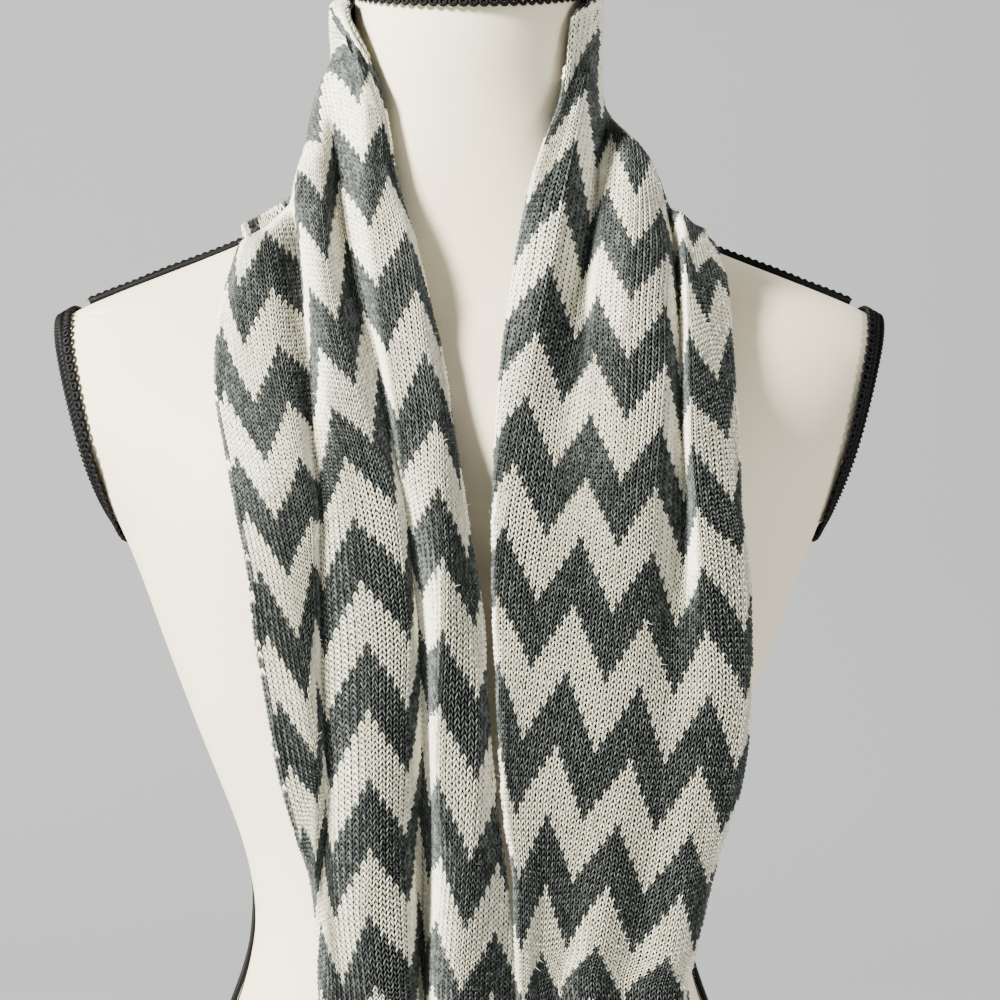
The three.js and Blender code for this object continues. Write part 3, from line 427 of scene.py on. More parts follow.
RIGHT_FALL = named_rows(FALL_COLUMNS, [
    (456,
     [-4, *range(6, 49, 6), 51, 54],
     [121.5, 110, 105, 98.5, 90, 81, 70.5, 65.5, 58, 52.5, 46.5],
     [598.5, 609, 613.5, 617, 639, 650, 653.5, 661, 675, 676, 674.5],
     [5, 10, 10, 5, 13, 15, 8, 6, 13, 10, 7]),
    (444,
     [-3, *range(6, 49, 6), 51, 54],
     [126, 111.5, 106.5, 101, 95, 83, 69, 63, 53, 44.5, 36.5],
     [588.5, 596.5, 601, 602, 615.5, 623.5, 626, 636, 650, 649, 647.5],
     [5, 11, 11, 4.8, 13, 16, 9, 5.5, 14.5, 11, 8]),
    (432,
     [-2, *range(6, 49, 6), 51, 54],
     [129, 113.5, 107.5, 102.5, 98.5, 82, 66.5, 60, 46.5, 35, 27.5],
     [578, 584, 588, 585.5, 593, 597.5, 599.5, 609, 619.5, 619, 618.5],
     [5, 11, 12, 4.8, 13, 16, 9, 5.5, 15, 11.5, 8]),
    (420,
     [0, *range(6, 49, 6), 51, 53.5],
     [131, 119, 109.5, 104.5, 97.5, 80.5, 64, 56, 40.5, 29.5, 22],
     [556, 559, 556, 556.5, 567, 570.5, 572.5, 581, 587, 587.5, 587.5],
     [5, 10, 12, 4.8, 14, 16, 9, 5.5, 15, 12, 8]),
    (408,
     [1, *range(6, 49, 6), 51, 53],
     [133, 123.5, 110.5, 105, 97.5, 79, 62.5, 52.5, 33.5, 24, 17],
     [528, 530.5, 522, 526.5, 538, 541.5, 543, 551, 554, 555, 556],
     [5, 9, 12.5, 4.8, 14, 15, 9.5, 6, 14.5, 12, 8.5]),
    (396,
     [2, *range(6, 49, 6), 50.5, 52.5],
     [135, 128.5, 111, 106, 95.5, 78, 60.5, 46, 28.5, 20.5, 14],
     [500, 501, 498, 499.5, 507, 511, 513, 519.5, 522.5, 524, 524.5],
     [5, 8.5, 13, 4.8, 14, 14.5, 10.5, 7, 13, 11.5, 8.5]),
    (384,
     [3, *range(6, 49, 6), 50, 52],
     [136, 131, 114, 107, 93, 75.5, 58.5, 42.5, 22.5, 16.5, 12],
     [468, 469.5, 466.5, 469.5, 476.5, 480, 481, 487.5, 488, 490, 491],
     [5, 8, 13, 4.8, 13.5, 14, 11.5, 9, 12, 10.8, 9.3]),
    (372,
     [3, *range(6, 49, 6), 49.5, 50.5],
     [140, 135, 116.5, 106.5, 91.5, 74, 55.5, 38, 17.5, 14, 11],
     [441, 443.5, 436.5, 438.5, 444, 447.5, 451.5, 453, 456.5, 457.5, 458],
     [5.5, 8, 12.5, 5.5, 13, 13.5, 11.5, 10.5, 11.5, 10.6, 9.3]),
    (360,
     [3, 6, 12, 18, 24, 30, 36, 42, 46, 48, 49],
     [141.5, 137, 118.5, 103, 88, 71, 52, 33.5, 20.5, 14, 11],
     [403, 405, 405, 407.5, 410.5, 414.5, 417.5, 420.5, 421.5, 422, 422.5],
     [6, 8, 12, 8, 12.5, 13, 11.5, 11, 11, 10.4, 9.3]),
    (348,
     [3.5, 6, 12, 18, 24, 30, 36, 42, 45, 47, 48],
     [141, 137.5, 119.5, 102, 85, 67.5, 48.5, 30.5, 22, 16.5, 12.5],
     [370, 371, 373, 373.5, 377, 379.5, 384, 387, 388, 388.5, 389],
     [6.5, 9, 12, 10, 12.5, 13, 12, 11.5, 11.4, 10.7, 9.4]),
    (336,
     [3, 6, 12, 18, 24, 30, 36, 42, 44, 46, 47],
     [138, 132.5, 115, 97.5, 80.5, 62.5, 43.5, 26.5, 22, 17.5, 14],
     [336, 336.5, 337.5, 339, 340.5, 344.5, 347.5, 351, 351.5, 352, 352.5],
     [7, 9.5, 12.5, 11, 13, 13, 12.5, 12, 12, 11, 9.6]),
    (324,
     [4, 6, 12, 18, 24, 30, 36, 40, 42, 43.5, 45],
     [129.5, 125.5, 110.5, 92.5, 74, 56.5, 39, 28, 23, 19.5, 16.5],
     [305, 304.5, 303.5, 305.5, 307.5, 310.5, 313, 313.5, 313.5, 313.5, 314],
     [8, 10.5, 13, 11.5, 13.5, 12.5, 12, 12, 12, 11.4, 10.2]),
    (312,
     [4, 6, 12, 18, 24, 30, 36, 38.5, 40.5, 41.8, 43],
     [121.5, 118.5, 105.5, 87, 69, 51.5, 38, 32, 28, 25, 21.5],
     [279.5, 279, 273, 274, 277, 279.5, 278, 279.5, 280.5, 281, 281.5],
     [9, 11.5, 14, 11, 14.5, 11, 9.5, 11, 11.8, 11.5, 10.6]),
    (300,
     [5, 7, 12, 18, 24, 30, 36, 38.5, 40.5, 41.8, 43],
     [114, 110, 99, 81, 63.5, 48.5, 36, 31.5, 28.5, 26, 22.5],
     [245.5, 245, 242, 244.5, 247, 246.5, 244, 244.5, 245, 245.5, 246],
     [9, 12, 14.5, 11, 15, 10, 9, 10.5, 11.6, 11.4, 10.6]),
    (288,
     [5, 7, 12, 18, 24, 30, 36, 38.5, 40.5, 41.8, 43],
     [110, 106, 93.5, 77, 60.5, 45.5, 35.5, 32.5, 30, 27.5, 24],
     [219, 219, 217, 219.5, 221, 222, 218, 217.5, 217.5, 217.5, 217.5],
     [9, 12, 14.5, 11, 15.5, 10.5, 9.5, 10.8, 11.6, 11.4, 10.6]),
])

TURN_CENTRE = {"x": 23.0, "z": 135.0}
TURN_RADII = np.array([92, 86, 77, 68, 58, 48, 39, 31, 23, 16, 10], float)
TURN = named_rows(["course", "degrees", "lift"], [
    (178, 177, [6, 10, 12, 13, 16, 13, 8, 10, 14, 15, 10]),
    (193, 208, [6, 11, 14, 12, 14, 16, 13, 8, 9, 12, 9]),
    (208, 239, [7, 12, 15, 11, 12, 17, 18, 14, 9, 9, 8]),
    (223, 271, [7, 11, 15, 13, 11, 13, 17, 19, 16, 12, 9]),
    (238, 303, [7, 10, 14, 15, 12, 11, 13, 15, 11, 9, 8]),
    (253, 333, [8, 11, 14, 14, 14, 12, 10, 10, 14, 14, 10]),
    (267, 362, [9, 12, 14, 12, 15, 12, 10.5, 11.5, 12, 11, 9.5]),
])

WRAP = named_rows(["course", "bearing", "height", "lift"], [
    (468,
     [15, 15, 15, 14, 12, 10, 10, 7, -6, -20, -34],
     [599.5, 604, 609, 615.5, 635, 656, 672, 687, 700, 702, 702],
     [5, 10, 10, 6, 13, 14, 9, 7.6, 7.8, 6.5, 5.5]),
    (483,
     [41, 38, 35, 32, 29, 26, 23, 18, 11, 5, 0],
     [606, 618, 629, 639, 652, 665, 680, 694, 711, 721, 729],
     [5, 10, 12, 7, 12, 14, 8, 6.5, 6, 5.5, 5]),
    (510,
     [90, 90, 90, 90, 90, 90, 90, 90, 90, 90, 90],
     [604, 616, 629, 641, 652, 666, 680, 692, 713, 729, 738],
     [5, 10, 12, 7, 13, 13, 7, 12, 13, 9, 6]),
    (537,
     [139, 142, 145, 148, 151, 154, 160, 173, 188, 197, 204],
     [608, 619, 630, 641, 653, 666, 683, 703, 714, 712, 709],
     [5, 10, 11, 8, 14, 17, 12, 11, 10, 8, 6]),
    (552,
     [165, 165, 165, 166, 170, 175, 186, 212, 221, 225, 228],
     [600.5, 607, 615, 628, 646, 664, 682, 688, 676, 670, 665],
     [5, 9, 14, 12, 20, 21, 13, 9.5, 9, 8, 6.5]),
])
COLUMNS = len(TURN_RADII)
print("sections", len(LEFT_FALL) + len(TURN) + len(RIGHT_FALL) + len(WRAP))

# %% [markdown]
# ## From tables to a surface
# Each table row becomes a line of points in space. On the falls a point's depth is found from the
# form: the cloth lies on the chest, and below it hangs straight down. The lift says how far the
# outer face of a fold stands off. Behind the neck the same is done by bearings, and at the foot
# the sections fan out round a centre.

# %% Points of the table rows
SHOULDER_LEVELS = (530, 575)  # between these the lift turns from forwards to upwards
NECK_LEVELS = (560, 600)  # and between these it turns back, at the foot of the neck
UPWARD_SHARE = 0.9
SOFT_TURN = 6.0  # millimetres, where the cloth leaves the chest to hang
FIRST_GUESS = -60.0
GUESSES = 60
GUESS_STEP = 0.35


def cloth_depth(x, z, lift):
    """The y of the cloth's outer face, in front of the form."""
    climb = smooth_step(z, *SHOULDER_LEVELS)
    s = section_at(z - lift * UPWARD_SHARE * climb)
    share = np.abs(x) / (s["half"] + lift)
    deep = s["front"] + bust_rise(x, z) + lift
    inside = np.clip(1 - np.minimum(share, 1) ** s["power"], 0, None)
    on_form = s["middle"] - deep * inside ** (1 / s["power"])
    hanging = -smooth_table(HANG, "depth", z) - lift
    mix = np.clip(0.5 + (on_form - hanging) / (2 * SOFT_TURN), 0, 1)
    return on_form + (hanging - on_form) * mix - SOFT_TURN * mix * (1 - mix)


def cloth_from_front(across, height, lift):
    """Points on the lines of sight, moved along them step by step until they meet the cloth."""
    y = np.full(len(across), FIRST_GUESS)
    for _ in range(GUESSES):
        near = (y - VIEWPOINT["y"]) / -VIEWPOINT["y"]
        x = VIEWPOINT["x"] + (across - VIEWPOINT["x"]) * near
        z = VIEWPOINT["z"] + (height - VIEWPOINT["z"]) * near
        p = np.stack([x, y, z], axis=-1)
        y = y + (cloth_depth(x, z, lift) - y) * GUESS_STEP
    return p


def front_row(row):
    """The course, wales and points of a row on a fall."""
    return row["course"], row["wales"], cloth_from_front(row["across"], row["height"], row["lift"])


def turn_row(row):
    """The same for the foot of the loop, where the sections fan out round a centre."""
    share = smooth_step(row["degrees"], 180, 360)
    left, right = LEFT_FALL[-1]["wales"], RIGHT_FALL[-1]["wales"]
    angle = math.radians(row["degrees"])
    x = TURN_CENTRE["x"] + TURN_RADII * math.cos(angle)
    z = TURN_CENTRE["z"] + TURN_RADII * math.sin(angle)
    y = -smooth_table(HANG, "depth", z) - row["lift"]
    return row["course"], left + (right - left) * share, np.stack([x, y, z], axis=-1)


def wrap_row(row):
    """The same behind the neck, where a point's place is a bearing from the middle."""
    first, last = RIGHT_FALL[0]["course"], LEFT_FALL[0]["course"] + LOOP_COURSES
    share = (row["course"] - first) / (last - first)
    right, left = RIGHT_FALL[0]["wales"], LEFT_FALL[0]["wales"]
    height, lift = row["height"], row["lift"]
    bearing = np.radians(row["bearing"])
    climb = 1 - smooth_step(height, *NECK_LEVELS)
    s = section_at(height - lift * UPWARD_SHARE * climb)
    deep = np.where(np.sin(bearing) < 0, s["front"], s["back"]) + lift
    wide = s["half"] + lift
    cosine, sine = np.cos(bearing), np.sin(bearing)
    total = (np.abs(cosine) / wide) ** s["power"] + (np.abs(sine) / deep) ** s["power"]
    radius = total ** (-1 / s["power"])
    p = np.stack([radius * cosine, s["middle"] + radius * sine, height], axis=-1)
    return row["course"], right + (left - right) * share, p


def unit(v):
    return v / np.maximum(np.linalg.norm(v, axis=-1, keepdims=True), 1e-9)


def loop_sections():
    rows = [front_row(r) for r in LEFT_FALL] + [turn_row(r) for r in TURN]
    rows += [front_row(r) for r in reversed(RIGHT_FALL)] + [wrap_row(r) for r in WRAP]
    for _, _, p in rows:
        p[0] += unit(p[1] - p[0]) * EDGE_ROUND
        p[-1] += unit(p[-2] - p[-1]) * EDGE_ROUND
    return [np.array(column) for column in zip(*rows)]


COURSES, WALES, POINTS = loop_sections()
print("control net", POINTS.shape)

# %% [markdown]
# ## A fine net of the whole loop
# Smooth curves first run along each fold, from row to row round the endless loop, and then across
# the cloth. A curve's way is shortened where points crowd, so it can't overshoot and make the
# cloth cross itself. The result is a fine net with a line every half course.

# %% The fine net
OVERSHOOT = 1.6
LINES_PER_COURSE = 2
SPOTS_PER_COLUMN = 8
SHOULDER_BRAID_FOOT = (560, 575)  # the levels where the clearance over this braid begins
SHOULDER_BRAID_REACH = (9, 26)  # and how far to each side of it the clearance dies away
NECK_BRAID_FOOT = (12, 3)  # below the neck braid's lower edge
SETTLING = 4  # steps in which a point comes to rest above the cover


def way_through(before, at, after, span_before, span_after):
    """A curve's way through a point, from its neighbours, held back where one of them is near."""
    way = (after - before) / (span_before + span_after)
    slower = np.minimum(
        np.linalg.norm(at - before, axis=-1, keepdims=True) / span_before,
        np.linalg.norm(after - at, axis=-1, keepdims=True) / span_after,
    )
    length = np.maximum(np.linalg.norm(way, axis=-1, keepdims=True), 1e-9)
    return way * np.minimum(1, OVERSHOOT * slower / length)


def along_the_loop(courses):
    """Each fold's place, and its wale, on every course asked for."""
    ring = lambda a, shift: np.roll(a, shift, axis=0)
    later = np.diff(np.append(COURSES, COURSES[0] + LOOP_COURSES))[:, None, None]
    ways = way_through(ring(POINTS, 1), POINTS, ring(POINTS, -1), ring(later, 1), later)
    i = np.searchsorted(COURSES, courses, side="right") - 1
    j = (i + 1) % len(COURSES)
    span = later[i]
    t = (courses - COURSES[i])[:, None, None] / span
    points = hermite(t, POINTS[i], POINTS[j], ways[i] * span, ways[j] * span)
    wales = WALES[i] + (WALES[j] - WALES[i]) * t[..., 0]
    return points, wales


def across_the_cloth(points, wales):
    """Fine lines across the cloth, from the outer edge to the inner edge."""
    spans = np.diff(wales, axis=1)[..., None]
    inner = way_through(points[:, :-2], points[:, 1:-1], points[:, 2:], spans[:, :-1], spans[:, 1:])
    first = (points[:, 1:2] - points[:, :1]) / spans[:, :1]
    last = (points[:, -1:] - points[:, -2:-1]) / spans[:, -1:]
    ways = np.concatenate([first, inner, last], axis=1)
    spots = np.arange((COLUMNS - 1) * SPOTS_PER_COLUMN + 1) / SPOTS_PER_COLUMN
    i = np.minimum(spots.astype(int), COLUMNS - 2)
    t = (spots - i)[None, :, None]
    span = spans[:, i]
    fine = hermite(t, points[:, i], points[:, i + 1], ways[:, i] * span, ways[:, i + 1] * span)
    return fine, wales[:, i] + (wales[:, i + 1] - wales[:, i]) * t[..., 0]


def clearance_at(p):
    """How far the inner face keeps from the cover, which is more over a braid."""
    level = p[..., 2] - neck_shear(p[..., 1], p[..., 2])
    aside = np.abs(p[..., 1] - section_at(level)["middle"])
    beside = 1 - smooth_step(aside, *SHOULDER_BRAID_REACH)
    on_shoulder = smooth_step(level, *SHOULDER_BRAID_FOOT) * beside
    on_neck = smooth_step(level, *(NECK_BRAID_LOW - below for below in NECK_BRAID_FOOT))
    return CLOTH_CLEAR + BRAID_CLEAR * np.maximum(on_shoulder, on_neck)


def settle(p, gap_at, least):
    """Points moved straight in or out, step by step, until they lie a gap above the cover."""
    at = p.copy()
    for _ in range(SETTLING):
        slope = cover_slope(at)
        steep = np.linalg.norm(slope, axis=-1)
        lack = gap_at(at) - (cover_value(at) - 1) / steep
        at += slope * (np.maximum(lack, least) / steep)[..., None]
    return at


NET_COURSES = FIRST_COURSE + np.arange(LOOP_COURSES * LINES_PER_COURSE) / LINES_PER_COURSE
outer_face, net_wales = across_the_cloth(*along_the_loop(NET_COURSES))
NEARBY = 3  # lines of the net, for the way along the cloth
along = np.roll(outer_face, -NEARBY, axis=0) - np.roll(outer_face, NEARBY, axis=0)
across = np.gradient(outer_face, axis=1)
out = unit(np.cross(along, across))
out *= np.sign(np.median((out * cover_slope(outer_face)).sum(axis=-1)))
inner_face = outer_face - out * WALL
push = settle(inner_face, clearance_at, 0) - inner_face
outer_face += push
inner_face += push
print("net", outer_face.shape, "largest push", round(float(np.linalg.norm(push, axis=-1).max()), 1), "mm")

# %% [markdown]
# ## Round the long edges
# A tube pressed flat has no cut edge: the knit turns over and runs back behind. So the net goes on
# round each long edge in a half circle as thick as the wall, and the count of wales goes on with
# it, all the way round the tube.

# %% The ring of the tube
RIM_STEPS = 4


def rim(end, next_one, from_outer):
    """Half a circle round a long edge, its two ends left out."""
    middle = (outer_face[:, end] + inner_face[:, end]) / 2
    inward = (outer_face[:, next_one] + inner_face[:, next_one]) / 2
    outward = unit(middle - inward)
    up = (outer_face[:, end] - inner_face[:, end]) / 2
    radius = np.linalg.norm(up, axis=-1, keepdims=True)
    turns = np.linspace(0, math.pi, RIM_STEPS + 1)[1:-1]
    if not from_outer:
        turns = turns[::-1]
    return np.stack([middle + up * math.cos(a) + outward * radius * math.sin(a) for a in turns], axis=1)


RIM_WALES = math.pi * WALL / 2 / STITCH
rim_wales = np.linspace(0, RIM_WALES, RIM_STEPS + 1)[1:-1]
edge_rim = rim(0, 1, False)
inner_rim = rim(-1, -2, True)
net = np.concatenate([inner_face[:, :1], edge_rim, outer_face, inner_rim, inner_face[:, -1:]], axis=1)
first_wale, last_wale = net_wales[:, :1], net_wales[:, -1:]
before_wales = [first_wale - RIM_WALES, first_wale - rim_wales[::-1]]
after_wales = [last_wale + rim_wales, last_wale + RIM_WALES]
ring_wales = np.concatenate([*before_wales, net_wales, *after_wales], axis=1)
print("ring", net.shape[1], "points over", round(float(np.ptp(ring_wales[0]))), "wales")

# %% [markdown]
# ## The chart of the chevron
# The pattern is an ordinary knitter's chevron in two colours. A repeat is 12 wales wide and 24
# courses tall: the zigzag climbs two courses at each wale, and each stripe is 12 courses deep. One
# formula gives each stitch's colour, here and in the cloth's shader.

# %% The chart
REPEAT = 12
CHART_TALL = 2 * REPEAT


def is_cream(wale, course):
    """Whether the stitch at a wale and a course is knitted in cream."""
    climb = 2 * np.abs(wale % REPEAT - REPEAT / 2)
    return np.floor((course + 0.5 - climb) / REPEAT) % 2 == 0


for line in range(0, CHART_TALL, 4):
    print("".join("o" if is_cream(w, line) else "." for w in range(2 * REPEAT)))

# %% Helpers for meshes


def link_mesh(name, points_mm, faces, materials):
    """A finished piece at the origin, its place in its mesh."""
    mesh = bpy.data.meshes.new(name)
    mesh.from_pydata([tuple(p) for p in np.asarray(points_mm) * MM], [], [tuple(f) for f in faces])
    for material in materials:
        mesh.materials.append(material)
    mesh.update()
    piece = bpy.data.objects.new(name, mesh)
    bpy.context.collection.objects.link(piece)
    mesh.polygons.foreach_set("use_smooth", [True] * len(mesh.polygons))
    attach(piece, "root")
    return piece


def copies(template, faces, origins, ways):
    """One mesh of many small shapes: each point is a mix of three ways from an origin."""
    points = origins[:, None, :] + np.einsum("vk,nkc->nvc", template, ways)
    count, size = points.shape[:2]
    offsets = np.repeat(np.arange(count) * size, len(faces))
    tiled = np.tile(faces, (count, 1)) + offsets[:, None]
    return points.reshape(-1, 3), tiled


# %% [markdown]
# ## Yarn
# The cream yarn is a soft matt cotton and acrylic, a little warm, with faint shade from strand to
# strand. The slate grey one is heathered: it is spun from dark and pale fibres, so short flecks of
# pale grey and near black run along every stitch. Each strand has a number of its own, from which
# its shade comes, and a fine noise breaks it into fibres.

# %% Yarn materials


def yarn(name, dark, middle, pale, sheen):
    look = Look(name, Roughness=0.9, Sheen_Weight=sheen, Sheen_Roughness=0.5, Specular_IOR_Level=0.2)
    strand = look.add("ShaderNodeAttribute", {"attribute_name": "strand"}, output="Fac")
    flecks = look.noise(1150, roughness=0.7)
    shade = strand * 0.5 + (flecks - 0.5) * 1.2 + 0.25
    colour = look.ramp(shade, [(0.12, dark), (0.5, middle), (0.9, pale)])
    look.wear("Base Color", colour)
    look.bump(look.noise(2600, 3.0), 0.35, 0.0003)
    return look.material


CREAM_YARN = yarn("cream_yarn", rgb(214, 209, 184), rgb(242, 238, 217), rgb(252, 250, 238), 0.2)
GREY_YARN = yarn("heathered_slate_yarn", rgb(42, 47, 46), rgb(72, 77, 74), rgb(116, 121, 117), 0.1)
print("yarns ready")

# %% [markdown]
# The ground is what shows between the stitches: the backs of the loops, yarn of the chart's colour.
# Its colours are painted shade, far darker than the yarns, for the shade deep in the holes. It takes
# the same chart as the stitches by its own map, where one unit is one wale or one course, so the two
# always agree.

# %% The ground's material, in painted shade


def painted_shade_ground():
    look = Look("painted_shade_ground", Roughness=1.0, Specular_IOR_Level=0.1)
    wale, course, _ = look.parts(look.add("ShaderNodeUVMap", {"uv_map": "chart"}))
    column = (wale + 0.5).floor()
    climb = abs(column % REPEAT - REPEAT / 2) * 2
    stripe = ((course.floor() + 0.5 - climb) / REPEAT).floor() % 2
    is_grey = 1 - (stripe < 0.5)
    fibre = look.noise(900)
    # Painted shade: both ground colours are far darker than the yarns, for the shade in the holes; the
    # chart only picks cream or grey
    cream = look.ramp(fibre, [(0.3, rgb(46, 42, 32)), (0.7, rgb(72, 66, 52))])
    grey = look.ramp(fibre, [(0.3, rgb(13, 14, 15)), (0.7, rgb(25, 27, 28))])
    look.wear("Base Color", look.blend(is_grey, cream, grey))
    look.bump(fibre, 0.3, 0.0004)
    return look.material


PAINTED_SHADE_GROUND = painted_shade_ground()

# %% [markdown]
# ## The cloth's wall
# Under the stitches lies a thin closed shell on the form of the CAD solid: the outer face, the two
# round edges and the inner face. It is set a little below the stitches' tops.

# %% The wall of each stretch
STRETCHES = {
    "left_fall": (-12, 156),
    "lower_turn": (156, 288),
    "right_fall": (288, 456),
    "neck_wrap": (456, 564),
}
SINK = 0.7
WALL_SPOT_STEP = 2
WALE_JUMP = 3  # where the ring closes on itself, its count starts again


def net_row(course):
    return int(round((course - FIRST_COURSE) * LINES_PER_COURSE))


def wall_rings(first, last):
    """Closed rings round the flattened tube, and their wales, course by course."""
    rows = np.arange(net_row(first), net_row(last) + 1, LINES_PER_COURSE) % len(net)
    front = outer_face[rows][:, ::WALL_SPOT_STEP] - out[rows][:, ::WALL_SPOT_STEP] * SINK
    back = inner_face[rows][:, ::-WALL_SPOT_STEP]
    rings = np.concatenate([front, inner_rim[rows], back, edge_rim[rows]], axis=1)
    steps = np.linalg.norm(np.diff(back, axis=1), axis=-1) / STITCH
    back_wales = last_wale[rows] + RIM_WALES + np.concatenate(
        [np.zeros((len(rows), 1)), np.cumsum(steps, axis=1)], axis=1
    )
    wales = np.concatenate(
        [
            net_wales[rows][:, ::WALL_SPOT_STEP],
            last_wale[rows] + rim_wales,
            back_wales,
            first_wale[rows] - rim_wales[::-1],
        ],
        axis=1,
    )
    return rings, wales


def wall_piece(name, first, last):
    """A closed shell with square ends, and the chart's map on its faces."""
    rings, wales = wall_rings(first, last)
    rows, size = rings.shape[:2]
    faces, charts = [], []
    for r in range(rows - 1):
        for i in range(size):
            j = (i + 1) % size
            faces.append((r * size + i, r * size + j, (r + 1) * size + j, (r + 1) * size + i))
            low, high = wales[r, i], wales[r, j]
            high = low if abs(high - low) > WALE_JUMP else high
            charts += [(low, first + r), (high, first + r), (high, first + r + 1), (low, first + r + 1)]
    for end in (0, rows - 1):
        ring = [end * size + i for i in range(size)]
        faces.append(tuple(ring if end else ring[::-1]))
        charts += [(0.0, 0.0)] * size
    # the shell wears the ground's painted shade, for the holes between the stitches
    piece = link_mesh(f"scarf_{name}_painted_shade_ground", rings.reshape(-1, 3), faces, [PAINTED_SHADE_GROUND])
    layer = piece.data.uv_layers.new(name="chart")
    layer.data.foreach_set("uv", np.array(charts, float).ravel())
    return piece


def face_outward(piece):
    """Turns a closed piece's faces out where they point in."""
    work = bmesh.new()
    work.from_mesh(piece.data)
    if work.calc_volume(signed=True) < 0:
        bmesh.ops.reverse_faces(work, faces=work.faces)
    work.to_mesh(piece.data)
    work.free()


grounds = {}
for name, (first, last) in STRETCHES.items():
    grounds[name] = wall_piece(name, first, last)
    face_outward(grounds[name])
    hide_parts(f"scarf_{name}")
print("walls", {k: len(p.data.polygons) for k, p in grounds.items()})

# %% [markdown]
# ## Stitches
# Stockinette is made of small V shapes, each two plump legs that meet at a point. The point of one
# sits between the spread legs of the last, and a small dark hole is left behind it. The legs are
# modelled once, with a few faces, and copied to every crossing of a wale and a course, where they
# take the local width, length and tilt of the cloth, so they crowd and lean in the folds as real
# ones do. Points face the way the loop was knitted from, so they point up on one fall and down on
# the other, as in the photograph.

# %% One stitch, in wales, courses and millimetres
LEG_LINE = [
    {"aside": 0.03, "along": -0.92, "half": 0.0, "high": 0.05},
    {"aside": 0.14, "along": -0.40, "half": 0.12, "high": 0.90},
    {"aside": 0.345, "along": 0.12, "half": 0.145, "high": 0.85},
    {"aside": 0.33, "along": 0.66, "half": 0.0, "high": -0.30},
]
LEG_FOOT = -0.25


def one_leg(side):
    """A strand with a pointed end, two sections of three points, and a pointed end."""
    start, low, mid, end = LEG_LINE
    points = [(side * start["aside"], start["along"], start["high"])]
    for s in (low, mid):
        points.append((side * (s["aside"] - s["half"]), s["along"], LEG_FOOT))
        points.append((side * s["aside"], s["along"], s["high"]))
        points.append((side * (s["aside"] + s["half"]), s["along"], LEG_FOOT))
    points.append((side * end["aside"], end["along"], end["high"]))
    faces = [(0, 1, 2), (0, 2, 3), (1, 4, 5), (1, 5, 2), (2, 5, 6), (2, 6, 3), (4, 7, 5), (5, 7, 6)]
    if side < 0:
        faces = [f[::-1] for f in faces]
    return np.array(points), np.array(faces)


left_points, left_faces = one_leg(-1)
right_points, right_faces = one_leg(1)
STITCH_POINTS = np.concatenate([left_points, right_points])
STITCH_FACES = np.concatenate([left_faces, right_faces + len(left_points)])
print("a stitch has", len(STITCH_FACES), "faces")

# %% Where the stitches go
FIRST_WALE, LAST_WALE = -10, 60
HALF_WALES = np.arange(2 * FIRST_WALE - 1, 2 * LAST_WALE + 2) / 2
SEAM_WALE = -8
# the seam mixes both yarns, and its grey share is raised as painted shade for the turned edge
SEAM_CREAM_UNDER_PAINTED_SHADE = 0.2  # how many of the seam's stitches are cream
EDGE_MARGIN = 0.4  # wales kept clear at the end of the ring
LEAST_WIDTH = 0.25  # millimetres, below which a stitch is lost in a crease
SIZE_JITTER = 0.035
PLACE_JITTER = 0.06  # millimetres
SAMPLE_COURSES = (24, 48)


def half_wale_net():
    """The net measured again at every half wale, so that a stitch's neighbours are at hand."""
    points = np.empty((len(net), len(HALF_WALES), 3))
    for r, (row, wales) in enumerate(zip(net, ring_wales)):
        for c in range(3):
            points[r, :, c] = np.interp(HALF_WALES, wales, row[:, c])
    return points


fine_net = half_wale_net()
draws = np.random.default_rng(7)


def net_spots(rows, columns):
    """Points of the net at some rows, counted on round the loop, and some half wales."""
    return fine_net[np.ix_(rows % len(net), columns)]


def stitch_frames(first, last):
    """Wale, course, middle and three ways of each stitch of a stretch."""
    courses = np.arange(first, last)
    rows = (courses - FIRST_COURSE) * LINES_PER_COURSE + 1
    wales = np.arange(FIRST_WALE, LAST_WALE + 1)
    columns = 2 * (wales - FIRST_WALE) + 1
    at = net_spots(rows, columns)
    wide = net_spots(rows, columns + 1) - net_spots(rows, columns - 1)
    long = net_spots(rows + 1, columns) - net_spots(rows - 1, columns)
    up = unit(np.cross(long, wide))
    low_edge = ring_wales[rows % len(net), :1] + EDGE_MARGIN
    high_edge = ring_wales[rows % len(net), -1:] - EDGE_MARGIN
    shown = (wales[None] > low_edge) & (wales[None] < high_edge)
    shown &= np.linalg.norm(wide, axis=-1) > LEAST_WIDTH
    ways = np.stack([wide, long, up], axis=-2)
    where = np.nonzero(shown)
    return wales[where[1]], courses[where[0]], at[where], ways[where]


def facing_out():
    """Whether a stitch's third way points out of the cloth as it stands."""
    _, _, at, ways = stitch_frames(*SAMPLE_COURSES)
    return np.sign(np.median((ways[:, 2] * cover_slope(at)).sum(axis=-1)))


OUT_SIGN = facing_out()


def number_strands(piece, values):
    """Gives each point of a piece its strand's number, from which the yarn takes its shade."""
    layer = piece.data.attributes.new("strand", "FLOAT", "POINT")
    layer.data.foreach_set("value", values)


def stitch_piece(name, at, ways, material):
    """One colour's stitches of a stretch, each a little different in size and place."""
    ways = ways.copy()
    ways[:, 2] *= OUT_SIGN
    ways *= 1 + draws.normal(0, SIZE_JITTER, (len(at), 3, 1))
    faces = STITCH_FACES if OUT_SIGN > 0 else STITCH_FACES[:, ::-1]
    origins = at + draws.normal(0, PLACE_JITTER, at.shape)
    points, tiled = copies(STITCH_POINTS, faces, origins, ways)
    piece = link_mesh(name, points, tiled, [material])
    number_strands(piece, np.repeat(draws.random(2 * len(at)), len(left_points)))
    return piece
